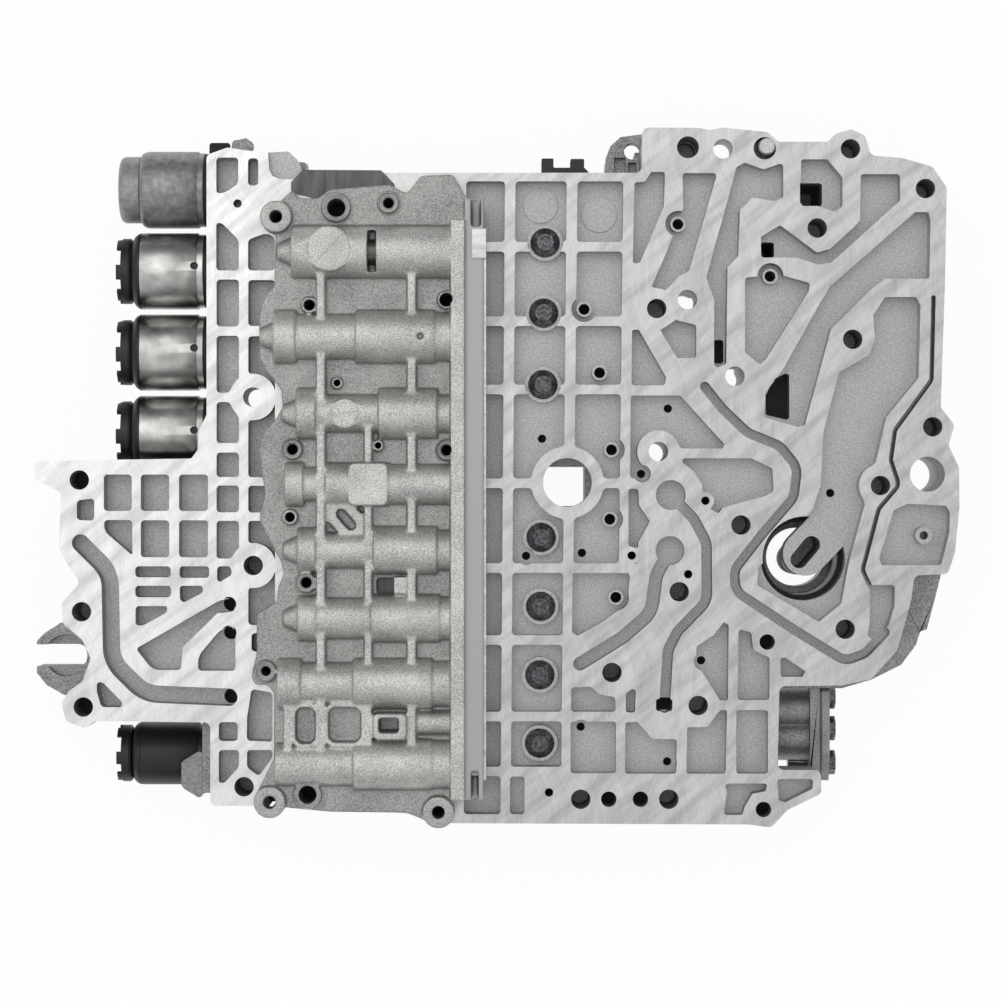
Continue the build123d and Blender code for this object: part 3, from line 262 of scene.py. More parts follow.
@dataclass(frozen=True)
class MilledCasting:
    """Aluminium casting with face-milled lands: bright arcs of cutter marks over dull grey cast floors."""

    name: str = "face_milled_aluminium_casting"
    land_dark: str = "#bcbcba"
    land_light: str = "#f6f6f4"
    floor_dark: str = "#a4a4a3"
    floor_light: str = "#cececc"
    cutter_mm: float = 46.0
    pass_mm: float = 56.0
    mark_mm: float = 0.9
    streak_mm: float = 4.5
    smear_mm: float = 5.0
    smear_turn: float = 38.0
    smear_dark: str = "#1e1e1e"
    grain_mm: float = 0.6
    land_depth_mm: float = 0.12
    metallic: float = 0.9

    def material(self) -> Material:
        """Build the finish, with the lands told from the floors by their height.

        Returns:
            The material.
        """
        material, tree, shader = new_material(self.name)
        place = add_node(tree, "TexCoord").outputs["Object"]
        split = add_node(tree, "SeparateXYZ", {0: place})
        x, y, z = split.outputs[0], split.outputs[1], split.outputs[2]
        marks = self.cutter_marks(tree, x, y)
        # Painted light: the lands are painted brighter towards the left end, where more light falls on them
        span = {"Value": x, "From Min": -0.13, "From Max": -0.02, "To Min": 0.3, "To Max": 0.0}
        side = add_node(tree, "MapRange", span, clamp=True)
        bright = add_node(tree, "Math", {0: marks, 1: side}, operation="ADD")
        land = ramp(tree, bright, 0.3, 0.95, self.land_dark, self.land_light)
        # Wiping leaves slanting dull smears across the lands, some 5 mm wide
        turn = {"Vector": place, "Rotation": (0.0, 0.0, math.radians(self.smear_turn)),
                "Scale": (8.0, 1.0, 1.0)}
        slant = add_node(tree, "Mapping", turn, vector_type="TEXTURE")
        smear = add_node(tree, "TexNoise", {"Vector": slant, "Scale": per_mm(self.smear_mm), "Detail": 3.0})
        dull = {"Value": smear, "From Min": 0.42, "From Max": 0.66, "To Min": 1.0, "To Max": 0.76}
        kept = add_node(tree, "MapRange", dull, clamp=True)
        wiped = {0: kept, 6: linear(self.smear_dark), 7: land}
        land = add_node(tree, "Mix", wiped, data_type="RGBA").outputs[2]
        grain = add_node(tree, "TexNoise", {"Vector": place, "Scale": per_mm(self.grain_mm), "Detail": 3.0})
        floor = ramp(tree, grain, 0.3, 0.7, self.floor_dark, self.floor_light)
        edge = {"Value": z, "From Min": -2 * self.land_depth_mm * MM, "From Max": -self.land_depth_mm * MM}
        is_land = add_node(tree, "MapRange", edge, clamp=True)
        colour = add_node(tree, "Mix", {0: is_land, 6: floor, 7: land}, data_type="RGBA")
        rough = add_node(tree, "Math", {0: is_land, 1: -0.14, 2: 0.52}, operation="MULTIPLY_ADD")
        height = add_node(tree, "Mix", {0: is_land, 2: grain, 3: marks}, data_type="FLOAT")
        bump = add_node(tree, "Bump", {"Height": height, "Strength": 0.25, "Distance": 0.1 * MM})
        fill(tree, shader, {"Base Color": colour.outputs[2], "Normal": bump, "Metallic": self.metallic,
                            "Roughness": rough})
        return material

    def cutter_marks(self, tree: Any, x: Any, y: Any) -> Any:
        """Draw the arcs that the leading and the trailing side of a face mill leave in each pass.

        Args:
            tree: The node tree.
            x: The socket with the place along X.
            y: The socket with the place along Y.

        Returns:
            The node that gives the marks' strength, about 0 to 1.
        """
        # The square of the distance from the middle of the pass
        square = y
        for operation, number in (("MULTIPLY", per_mm(self.pass_mm)), ("FRACT", 0.0), ("SUBTRACT", 0.5),
                                  ("MULTIPLY", self.pass_mm * MM), ("POWER", 2.0)):
            square = add_node(tree, "Math", {0: square, 1: number}, operation=operation)
        inner = add_node(tree, "Math", {0: (self.cutter_mm * MM) ** 2, 1: square}, operation="SUBTRACT")
        reach = add_node(tree, "Math", {0: inner}, operation="SQRT")
        total = None
        for operation, seed in (("ADD", 0.0), ("SUBTRACT", 7.0)):
            along = add_node(tree, "Math", {0: x, 1: reach}, operation=operation)
            slow = add_node(tree, "Math", {0: y, 1: 0.02}, operation="MULTIPLY")
            line = add_node(tree, "CombineXYZ", {0: along, 1: slow, 2: seed})
            # A cutter's marks are 0.1 to 0.3 mm apart, drawn three times as coarse so that they show
            fine, broad = (add_node(tree, "TexNoise", {"Vector": line, "Scale": per_mm(size), "Detail": 2.0})
                           for size in (self.mark_mm, self.streak_mm))
            pair = add_node(tree, "Math", {0: fine, 1: broad}, operation="ADD")
            total = pair if total is None else add_node(tree, "Math", {0: total, 1: pair}, operation="ADD")
        return add_node(tree, "Math", {0: total, 1: 0.25}, operation="MULTIPLY")


@dataclass(frozen=True)
class PlainFinish:
    """A finish of one colour range with a fine grain: sheet, steel, moulding, rubber and oxide."""

    name: str
    dark: str
    light: str
    roughness: float
    metallic: float
    grain_mm: float
    stretch: Point = (1.0, 1.0)
    bump: float = 0.15
    contrast: float = 0.2

    def material(self) -> Material:
        """Build the finish.

        Returns:
            The material. The grain is stretched by the two shares along X and along Y and Z.
        """
        material, tree, shader = new_material(self.name)
        place = add_node(tree, "TexCoord").outputs["Object"]
        scale = (self.stretch[0], self.stretch[1], self.stretch[1])
        drawn = add_node(tree, "Mapping", {"Vector": place, "Scale": scale})
        grain = add_node(tree, "TexNoise", {"Vector": drawn, "Scale": per_mm(self.grain_mm), "Detail": 4.0})
        low, high = 0.5 - self.contrast, 0.5 + self.contrast
        colour = ramp(tree, grain, low, high, self.dark, self.light)
        bump = add_node(tree, "Bump", {"Height": grain, "Strength": self.bump, "Distance": 0.05 * MM})
        fill(tree, shader, {"Base Color": colour, "Normal": bump, "Metallic": self.metallic,
                            "Roughness": self.roughness})
        return material


# The look of each slot of the record
FINISHES: dict[str, CastAluminium | MilledCasting | PlainFinish] = {
    "cast_housing": CastAluminium(),
    "milled_casting": MilledCasting(),
    # Rolled steel sheet with an oil film, which shows as a smooth dark grey
    "dark_sheet": PlainFinish("oiled_rolled_sheet", "#505052", "#6a6a6c", 0.38, 0.9, 3.0, (1.0, 0.15)),
    # Stamped steel sheet, whose bright face shows faint rolling lines
    "bright_sheet": PlainFinish("bright_stamped_sheet", "#b4b4b2", "#dededc", 0.32, 1.0, 2.0, (0.2, 1.0)),
    # Plain pressed steel, a flat mid grey with little gloss
    "grey_sheet": PlainFinish("pressed_sheet", "#7a7a79", "#a2a2a0", 0.42, 0.9, 1.5),
    # Ground steel, bright with a close even grain
    "bright_steel": PlainFinish("ground_steel", "#a9a9a7", "#d0d0ce", 0.3, 1.0, 0.8),
    # Drawn and polished steel, with cloudy stains left by handling
    "solenoid_steel": PlainFinish("drawn_polished_steel", "#8d8d8b", "#dadad7", 0.27, 1.0, 9.0, bump=0.05,
                                  contrast=0.25),
    # Turned aluminium, bright with fine rings round its axis
    "machined_nose": PlainFinish("turned_aluminium", "#b0b0ae", "#cfcfcd", 0.3, 1.0, 0.6, (1.0, 0.1)),
    # Hard anodised aluminium, a brownish dark grey
    "anodised_valve": PlainFinish("hard_anodised_aluminium", "#5d5b56", "#75726b", 0.35, 0.8, 0.8),
    # Drawn spring wire, dark with a thin line of light along each coil
    "spring_wire": PlainFinish("drawn_spring_wire", "#74746f", "#9c9c98", 0.35, 1.0, 0.5),
    # Glass-filled nylon: near black with a soft sheen
    "black_moulding": PlainFinish("black_glass_filled_nylon", "#0f0f10", "#222223", 0.42, 0.0, 0.7,
                                  bump=0.25),
    # Phosphated cap, the same dull grey as its can and a little lighter
    "grey_moulding": PlainFinish("grey_phosphated_cap", "#8a8a88", "#aaaaa8", 0.45, 0.6, 2.0, bump=0.2),
    # Nitrile rubber, black and without gloss
    "seal_rubber": PlainFinish("nitrile_rubber", "#0c0c0c", "#1a1a1a", 0.6, 0.0, 0.5),
    # Black oxide on steel: dark, with a metal gloss on the edges
    "black_screws": PlainFinish("black_oxide_steel", "#37373a", "#77777b", 0.25, 0.95, 1.2, bump=0.2),
}
# Rolled sheet deep between the castings, painted near black as the shade that falls there
SHADE_DARK_SHEET = PlainFinish("painted_shade_sheet", "#0e0e0f", "#1a1a1b", 0.5, 0.4, 3.0)
# Phosphated steel: a dull crystalline grey with soft patches
PHOSPHATED_STEEL = PlainFinish("phosphated_steel", "#7e7e7d", "#a6a6a4", 0.42, 0.75, 2.5, bump=0.2)


def select_only(*pieces: Piece) -> None:
    """Select these pieces alone.

    Args:
        *pieces: The pieces, the first of which becomes active.
    """
    bpy.ops.object.select_all(action="DESELECT")
    for piece in pieces:
        piece.select_set(True)
    bpy.context.view_layer.objects.active = pieces[0]


@contextmanager
def editing(piece: Piece) -> Iterator[None]:
    """Open a piece in edit mode and close it again.

    Args:
        piece: The piece.
    """
    select_only(piece)
    bpy.ops.object.mode_set(mode="EDIT")
    bpy.ops.mesh.select_all(action="SELECT")
    yield
    bpy.ops.object.mode_set(mode="OBJECT")


def modify(piece: Piece, kind: str, **settings: Any) -> None:
    """Add a modifier to a piece and apply it.

    Args:
        piece: The piece.
        kind: The modifier's type.
        **settings: The modifier's own properties.
    """
    select_only(piece)
    modifier = piece.modifiers.new(kind.lower(), kind)
    for name, value in settings.items():
        setattr(modifier, name, value)
    bpy.ops.object.modifier_apply(modifier=modifier.name)


def smooth(piece: Piece, degrees: float = 35.0) -> None:
    """Shade a piece smooth, with edges sharper than the angle kept."""
    select_only(piece)
    bpy.ops.object.shade_smooth_by_angle(angle=math.radians(degrees))


def settle(piece: Piece, name: str) -> Piece:
    """Put a piece's place into its mesh and name it.

    Args:
        piece: The piece.
        name: Its name.

    Returns:
        The same piece, with its object at the origin.
    """
    select_only(piece)
    bpy.ops.object.transform_apply(location=True, rotation=True, scale=True)
    piece.name = name
    piece.data.name = name
    return piece


def close_mesh(piece: Piece) -> None:
    """Merge a piece's doubles, close its open ends and turn its faces outwards.

    Args:
        piece: The piece.
    """
    with editing(piece):
        bpy.ops.mesh.remove_doubles(threshold=0.001 * MM)
        bpy.ops.mesh.select_all(action="SELECT")
        bpy.ops.mesh.fill_holes(sides=0)
        bpy.ops.mesh.select_all(action="SELECT")
        bpy.ops.mesh.normals_make_consistent(inside=False)


def turned(name: str, profile: Sequence[Point], place: Sequence[float], axis: Axis = Axis.UP,
           sides: int = 32) -> Piece:
    """Turn a piece from a profile, by extruding and scaling a circle step by step.

    Args:
        name: The piece's name.
        profile: Heights along the axis and radii.
        place: Where height nought lies.
        axis: The direction of growing height.
        sides: Sides of the circle.

    Returns:
        The closed piece.
    """
    (height, radius), *_ = profile
    bpy.ops.mesh.primitive_circle_add(vertices=sides, radius=radius * MM, location=(0, 0, 0))
    piece = bpy.context.object
    with editing(piece):
        bpy.ops.transform.translate(value=(0, 0, height * MM))
        for (height, radius), (next_height, next_radius) in pairwise(profile):
            bpy.ops.mesh.extrude_region_move()
            bpy.ops.transform.translate(value=(0, 0, (next_height - height) * MM))
            grow = next_radius / radius
            bpy.ops.transform.resize(value=(grow, grow, 1.0))
    close_mesh(piece)
    piece.rotation_euler = axis.value
    piece.location = Vector(place) * MM
    return settle(piece, name)


def ring(low: float, high: float, inner: float, outer: float) -> list[Point]:
    """Give the closed profile of a square-edged ring between two heights and two radii."""
    return [(low, inner), (high, inner), (high, outer), (low, outer), (low, inner)]


def block(name: str, low: Sequence[float], high: Sequence[float], edge: float, turn: float = 0.0) -> Piece:
    """Make a block with rounded edges from a cube.

    Args:
        name: The piece's name.
        low: Its lowest corner.
        high: Its highest corner.
        edge: The rounding of its edges.
        turn: The turn about its own upright axis, in degrees.

    Returns:
        The piece.
    """
    middle = (Vector(low) + Vector(high)) / 2 * MM
    bpy.ops.mesh.primitive_cube_add(size=1.0, location=middle, scale=(Vector(high) - Vector(low)) * MM)
    piece = bpy.context.object
    piece.rotation_euler.z = math.radians(turn)
    settle(piece, name)
    if edge:
        modify(piece, "BEVEL", width=edge * MM, segments=2, limit_method="ANGLE")
        smooth(piece)
    return piece


def grow_faces(piece: Piece, chosen: Callable[[Vector], bool], move: Sequence[float]) -> None:
    """Extrude the faces of a piece whose middles are chosen.

    Args:
        piece: The piece, with its object at the origin.
        chosen: Says of a face's middle, whether it moves.
        move: How far the faces move.
    """
    select_only(piece)
    for part in (*piece.data.edges, *piece.data.vertices):
        part.select = False
    for polygon in piece.data.polygons:
        polygon.select = chosen(polygon.center / MM)
    bpy.ops.object.mode_set(mode="EDIT")
    bpy.ops.mesh.select_mode(type="FACE")
    bpy.ops.mesh.extrude_region_move()
    bpy.ops.transform.translate(value=Vector(move) * MM)
    bpy.ops.mesh.select_mode(type="VERT")
    bpy.ops.object.mode_set(mode="OBJECT")


# Between these heights end the pockets whose corners are rounded
POCKET_FEET: Point = (-12.0, -4.0)
# The likeness of two walls' directions, from a tight corner to an almost straight wall
CORNER_SHARES: Point = (-0.7, 0.94)
BLUNT_CORNER = math.radians(110)


def inner_corners(piece: Piece) -> list[Corner]:
    """Find the upright inner corners of the pockets in a piece's top face, which lies at height nought.

    Args:
        piece: The piece, with its object at the origin.

    Returns:
        The corners.
    """
    mesh = piece.data
    walls: dict[tuple[int, int], list[bpy.types.MeshPolygon]] = {}
    for polygon in mesh.polygons:
        if abs(polygon.normal.z) < 0.02:
            for key in polygon.edge_keys:
                walls.setdefault(key, []).append(polygon)
    corners: list[Corner] = []
    for edge in mesh.edges:
        pair = walls.get(edge.key, [])
        foot, top = sorted((mesh.vertices[index].co / MM for index in edge.vertices), key=lambda co: co.z)
        upright = math.hypot(foot.x - top.x, foot.y - top.y) < TOUCH_MM and top.z >= -TOUCH_MM
        if len(pair) != 2 or not upright or not POCKET_FEET[0] < foot.z < POCKET_FEET[1]:
            continue
        way = pair[0].normal + pair[1].normal
        share = pair[0].normal.dot(pair[1].normal)
        hollow = (pair[1].center - pair[0].center).dot(pair[0].normal) > 0
        if hollow and CORNER_SHARES[0] < share < CORNER_SHARES[1]:
            turn, angle = math.atan2(way.y, way.x), math.pi - math.acos(share)
            corners.append(Corner(foot.x, foot.y, foot.z, turn, angle))
    return corners


def copied(piece: Piece) -> Piece:
    """Copy a piece in place.

    Args:
        piece: The piece.

    Returns:
        The copy, with its own mesh.
    """
    copy = piece.copy()
    copy.data = piece.data.copy()
    bpy.context.scene.collection.objects.link(copy)
    return copy


def corner_posts(corners: Sequence[Corner], reach: Point) -> Piece:
    """Make posts with one hollow round side, which round inner corners when they are joined to them.

    Args:
        corners: The corners.
        reach: How far the rounding reaches along the walls of a square and of a blunt corner.

    Returns:
        All posts as one piece.
    """
    # The post stands a little way into both walls and the floor, so that it joins them
    half, sunk, room_share = 1 / math.sqrt(2) + 0.08, 0.3, 0.42
    post = turned("corner_post", [(0.0, half), (1.0, half)], (half - 0.09, 0.0, 0.0), sides=4)
    cut(post, turned("core", [(-0.5, 1.0), (1.5, 1.0)], (math.sqrt(2), 0.0, 0.0), sides=24))
    posts = []
    for corner in corners:
        room = min(math.hypot(corner.x - other.x, corner.y - other.y)
                   for other in corners if other is not corner)
        size = min(reach[corner.angle > BLUNT_CORNER], room_share * room) * math.sqrt(2)
        copy = copied(post)
        copy.location = Vector((corner.x, corner.y, corner.foot - sunk)) * MM
        copy.rotation_euler.z = corner.turn
        across = size * math.cos(corner.angle / 2), size * math.sin(corner.angle / 2)
        copy.scale = (*across, sunk - corner.foot)
        posts.append(copy)
    bpy.data.objects.remove(post)
    return joined(posts, "corner_posts")


def drills(holes: Sequence[Sequence[float]]) -> Piece:
    """Make upright cutters for round holes: X, Y, radius, low Z and high Z of each."""
    return joined([turned("drill", [(low, radius), (high, radius)], (x, y, 0.0))
                   for x, y, radius, low, high in holes], "drills")


def coat(piece: Piece, finish: Material) -> None:
    """Make a finish the only one of a piece."""
    piece.data.materials.clear()
    piece.data.materials.append(finish)


def cut(piece: Piece, cutter: Piece) -> None:
    """Cut one piece out of another and drop the cutter."""
    modify(piece, "BOOLEAN", operation="DIFFERENCE", object=cutter, solver="EXACT")
    bpy.data.objects.remove(cutter)


def star(name: str, place: Sequence[float], radius: float, depth: float) -> Piece:
    """Make a six-lobed prism, as a star-drive socket's inside.

    Args:
        name: The piece's name.
        place: The middle of its top.
        radius: The lobes' radius.
        depth: Its depth.

    Returns:
        The closed piece.
    """
    bpy.ops.mesh.primitive_circle_add(vertices=12, radius=radius * MM, location=(0, 0, 0))
    piece = bpy.context.object
    for edge in piece.data.edges:
        edge.select = False
    for vertex in piece.data.vertices:
        vertex.select = bool(vertex.index % 2)
    bpy.ops.object.mode_set(mode="EDIT")
    waist, rounding = 0.72, 0.14
    bpy.ops.transform.resize(value=(waist, waist, 1.0))
    bpy.ops.mesh.select_all(action="SELECT")
    bpy.ops.mesh.bevel(offset=radius * rounding * MM, segments=2, affect="VERTICES")
    bpy.ops.mesh.select_all(action="SELECT")
    bpy.ops.mesh.extrude_region_move()
    bpy.ops.transform.translate(value=(0, 0, -depth * MM))
    bpy.ops.object.mode_set(mode="OBJECT")
    close_mesh(piece)
    piece.location = Vector(place) * MM
    return settle(piece, name)


def joined(pieces: Sequence[Piece], name: str) -> Piece:
    """Join pieces into one mesh.

    Args:
        pieces: The pieces.
        name: The name of the whole.

    Returns:
        The joined piece.
    """
    select_only(*pieces)
    if len(pieces) > 1:
        bpy.ops.object.join()
    return settle(pieces[0], name)


def merged_copy(node: Piece, name: str) -> Piece:
    """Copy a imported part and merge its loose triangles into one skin.

    Args:
        node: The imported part.
        name: The copy's name.

    Returns:
        The copy, which the frame doesn't hold.
    """
    copy = copied(node)
    copy.parent = None
    for key in [key for key in copy.keys() if key.startswith("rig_")]:
        del copy[key]
    select_only(copy)
    bpy.ops.mesh.customdata_custom_splitnormals_clear()
    with editing(copy):
        bpy.ops.mesh.remove_doubles(threshold=0.002 * MM)
    copy.data.materials.clear()
    copy.name = name
    return copy


@dataclass
class Assembly:
    """A sub-assembly whose pieces ride on one body of the frame."""

    nodes: dict[str, Piece]
    body: str = "valve_body"

    def keep(self, piece: Piece, finish: Material, slot: str, *stands_for: str) -> None:
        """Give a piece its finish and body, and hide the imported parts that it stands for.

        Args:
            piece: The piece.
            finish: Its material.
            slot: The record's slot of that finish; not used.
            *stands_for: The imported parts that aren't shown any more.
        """
        coat(piece, finish)
        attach(piece, self.body)
        if stands_for:
            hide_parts(*stands_for)
        log.info("%s: %d faces", piece.name, len(piece.data.polygons))

    def dress(self, node: str, finish: Material) -> None:
        """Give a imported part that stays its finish."""
        coat(self.nodes[node], finish)
        log.info("%s: finish %s", node, finish.name)


# Holes with a clear view through all layers, and those that end in the dark of the lower housing
THROUGH_HOLES: Points = ((62.2, 133.5), (48.0, 73.2), (67.0, 42.5), (36.4, 12.4), (-125.9, 34.2))
DARK_HOLES: Points = (
    (113.2, 133.5), (143.2, 117.6), (99.9, 101.8), (35.7, 69.6), (114.1, 57.3), (146.1, 22.3), (125.2, -1.2),
    (69.4, -17.0), (44.7, -43.7), (17.8, -76.0), (52.3, -89.2), (111.1, -58.7), (5.3, -126.7), (40.5, -126.7),
    (-125.7, -33.2), (-194.4, -51.7), (-129.4, -121.7),
)
# Drilled holes of the upper housing and of the plate's flanges, each with its radius
CAST_HOLES: tuple[Triple, ...] = (
    (-92.0, 109.0, 3.7), (-71.3, 111.0, 2.2), (-102.6, 70.3, 2.2), (-91.6, 39.4, 1.4), (-75.3, 14.6, 1.3),
    (-109.5, 13.1, 2.2), (-48.2, 12.8, 2.2), (-48.3, 72.4, 2.7), (-110.3, -13.8, 1.9), (-104.0, -39.8, 2.2),
    (-120.0, -75.0, 2.0), (-103.4, -124.0, 3.6),
)
FLANGE_HOLES: tuple[Triple, ...] = ((-51.5, -131.0, 2.5), (-118.5, -127.0, 2.5), (-116.0, 105.5, 2.5))
BOLT_RADIUS = 3.9
# The wide blind hole near the plate's upper edge
WIDE_HOLE: Triple = (48.2, 134.1, 4.4)


@dataclass
class ChannelPlate(Assembly):
    """The milled channel plate with its jets, sleeves and date discs."""

    reach: Point = (1.5, 2.6)
    jets: Points = (
        (40.6, 29.8), (29.8, 3.5), (54.0, -71.6), (106.0, -4.2), (5.5, -98.3), (40.3, -112.3), (-10.1, 17.7),
        (-16.5, -29.5), (6.0, -28.3),
    )
    sleeves: Points = (
        (17.7, 13.1), (17.0, -14.7), (19.4, -46.0), (12.9, 44.0), (6.7, 69.4), (44.3, 103.5), (81.2, 82.6),
    )
    other_jets: Points = ((55.2, -7.3), (48.3, -36.7), (-7.4, -124.0), (25.7, -29.2))
    jet_radius: float = 1.7
    jet_boss: float = 3.5
    sleeve_wall: Point = (3.1, 5.2)
    foot_z: float = -8.46
    drill_foot: float = -18.5
    over: float = 1.0

    def build(self, finish: Material) -> None:
        """Build the plate with rounded pocket corners and its jets and sleeves.

        Args:
            finish: The milled casting's material.
        """
        plate = merged_copy(self.nodes["channel_plate"], "channel_plate_casting")
        deep = [(*hole, self.drill_foot, self.over) for hole in CAST_HOLES + FLANGE_HOLES]
        deep += [(x, y, self.jet_radius, self.drill_foot, self.over) for x, y in self.jets + self.other_jets]
        cut(plate, drills([(x, y, self.jet_boss, self.foot_z, self.over) for x, y in self.jets]))
        cut(plate, drills([*deep, (*WIDE_HOLE, -20.0, self.over)]))
        gap = ring(self.foot_z, self.over, *self.sleeve_wall)
        cut(plate, joined([turned("sleeve_ring", gap, (x, y, 0.0)) for x, y in self.sleeves], "sleeve_rings"))
        fillers = corner_posts(inner_corners(plate), self.reach)
        modify(plate, "BOOLEAN", operation="UNION", object=fillers, solver="EXACT")
        bpy.data.objects.remove(fillers)
        select_only(plate)
        bpy.ops.object.shade_flat()
        self.keep(plate, finish, "milled_casting", "channel_plate")


@dataclass
class UpperHousing(Assembly):
    """The raised casting over the spool bores, with its drilled holes and date discs."""

    voxel: float = 0.5
    relax: int = 12
    share: float = 0.25
    rings: Points = ((-109.5, 13.1), (-48.2, 12.8), (-104.0, -39.8), (-120.0, -75.0), (-71.3, 111.0))
    ring_profile: Points = ((8.2, 2.1), (8.6, 2.9), (9.3, 2.9), (9.3, 3.55), (12.5, 3.9))
    wide: Points = ((-92.0, 109.0), (-103.4, -124.0))
    wide_profile: Points = ((9.6, 3.6), (10.4, 4.9), (12.5, 5.1))
    discs: tuple[Sequence[float], ...] = ((-94.5, 92.2, 9.0, 17.6, 46.0), (-88.4, 27.2, 6.0, 14.6, 10.0))
    groove: float = 0.35

    def build(self, finish: Material) -> None:
        """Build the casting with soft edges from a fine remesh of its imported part, then drill it.

        Args:
            finish: The casting's material.
        """
        housing = merged_copy(self.nodes["upper_valve_housing"], "upper_housing_casting")
        modify(housing, "REMESH", mode="VOXEL", voxel_size=self.voxel * MM)
        modify(housing, "SMOOTH", factor=0.5, iterations=self.relax)
        modify(housing, "DECIMATE", ratio=self.share)
        cutters = [turned("ring_cut", self.ring_profile, (x, y, 0.0)) for x, y in self.rings]
        cutters += [turned("wide_cut", self.wide_profile, (x, y, 0.0)) for x, y in self.wide]
        cut(housing, joined(cutters, "ring_cutters"))
        cut(housing, drills([(*hole, -1.0, 20.0) for hole in CAST_HOLES + FLANGE_HOLES]))
        for x, y, radius, top, turn in self.discs:
            low, inner, outer = top - self.groove, radius - 0.95, radius - 0.45
            cut(housing, turned("disc_ring", ring(low, top + 1, inner, outer), (x, y, 0.0), sides=48))
            long = radius - 1.0
            cut(housing, block("disc_bar", (x - long, y - 0.3, low), (x + long, y + 0.3, top + 1), 0.0, turn))
        smooth(housing, 45)
        self.keep(housing, finish, "cast_housing", "upper_valve_housing")


@dataclass
class DrilledSheet(Assembly):
    """A separator sheet with its drilled holes, and a collar of given X, Y, inner and outer radius."""

    node: str = "upper_separator_plate"
    holes: tuple[Triple, ...] = CAST_HOLES + FLANGE_HOLES
    collar: tuple[float, float, float, float] | None = None
    collar_span: Point = (3.55, 3.75)
    low: float = -1.0
    high: float = 3.0

    def build(self, finish: Material) -> None:
        """Build the sheet and drill it.

        Args:
            finish: The sheet's material.
        """
        sheet = merged_copy(self.nodes[self.node], self.node + "_sheet")
        cut(sheet, drills([(x, y, radius, self.low, self.high) for x, y, radius in self.holes]))
        if self.collar is not None:
            x, y, inner, outer = self.collar
            low, high = (self.low + rise for rise in self.collar_span)
            collar = turned("collar", ring(low, high, inner, outer), (x, y, 0.0))
            sheet = joined([sheet, collar], sheet.name)
        smooth(sheet)
        self.keep(sheet, finish, "dark_sheet", self.node)


@dataclass
class LowerHousing(Assembly):
    """The casting under the channel plate, with its trimmed sides and the wells of its bolt holes."""

    edge: float = 0.3
    trims: tuple[tuple[Sequence[float], Sequence[float]], ...] = (
        ((-106.0, 123.3, -60.0), (16.0, 136.0, -18.0)), ((-128.0, 131.0, -60.0), (-105.0, 136.0, -18.0)),
        ((-149.5, 2.5, -60.0), (-144.6, 140.0, -10.0)),
    )
    wide_from_y: float = 100.0
    foot: float = -70.0
    well_foot: float = -25.2
    over: float = -10.0

    def build(self, finish: Material) -> None:
        """Build the casting with rounded edges and the holes that are seen from above.

        Args:
            finish: The casting's material.
        """
        housing = merged_copy(self.nodes["lower_valve_housing"], "lower_housing_casting")
        for low, high in self.trims:
            cut(housing, block("trim", low, high, 0.0))
        # The uppermost hole opens wide below, so that the floor shows through it
        holes = [(x, y, 2 * BOLT_RADIUS if y > self.wide_from_y else BOLT_RADIUS, self.foot, self.over)
                 for x, y in THROUGH_HOLES]
        holes += [(x, y, BOLT_RADIUS, self.well_foot, self.over) for x, y in (*DARK_HOLES, WIDE_HOLE[:2])]
        cut(housing, drills(holes))
        modify(housing, "BEVEL", width=self.edge * MM, segments=2, limit_method="ANGLE",
               angle_limit=math.radians(50), use_clamp_overlap=False)
        smooth(housing, 40)
        modify(housing, "WEIGHTED_NORMAL", weight=100, keep_sharp=True)
        left = min(vertex.co.x for vertex in self.nodes["lower_valve_housing"].data.vertices)
        for vertex in housing.data.vertices:
            vertex.co.x = max(vertex.co.x, left)
        self.keep(housing, finish, "cast_housing", "lower_valve_housing")


@dataclass
class PlateScrews(Assembly):
    """The seven star-drive screws of the channel plate."""

    places: Points = (
        (-8.9, 96.2), (-9.5, 68.0), (-9.8, 39.3), (-10.5, -22.0), (-10.7, -49.7), (-11.0, -77.2),
        (-11.1, -104.6),
    )
    profile: Points = (
        (-23.8, 2.6), (-23.2, 3.0), (-4.5, 3.0), (-4.5, 5.75), (-4.35, 5.88), (-4.1, 5.88), (-3.95, 5.75),
        (-3.7, 5.2), (-3.4, 5.1), (-2.7, 4.0), (-2.45, 3.6), (-1.3, 3.5), (-1.0, 3.4),
    )
    lobe_radius: float = 2.85
    socket_depth: float = 2.4

    def build(self, finish: Material) -> None:
        """Turn one screw with its six-lobed socket and copy it to every place.

        Args:
            finish: The screws' material.
        """
        first, *others = self.places
        place = (*first, 0.0)
        screw = turned("star_screw", self.profile, place, sides=48)
        cut(screw, star("star_socket", place, self.lobe_radius, self.socket_depth + 0.95))
        smooth(screw, 28)
        screws = [screw]
        for x, y in others:
            screws.append(copied(screw))
            screws[-1].location = Vector((x - first[0], y - first[1], 0.0)) * MM
        self.keep(joined(screws, "star_drive_screws"), finish, "black_screws", "plate_screws")


SPOOL_ROWS = (91.5, 57.8, 27.3, -0.8, -27.0, -54.0, -80.0, -112.0)


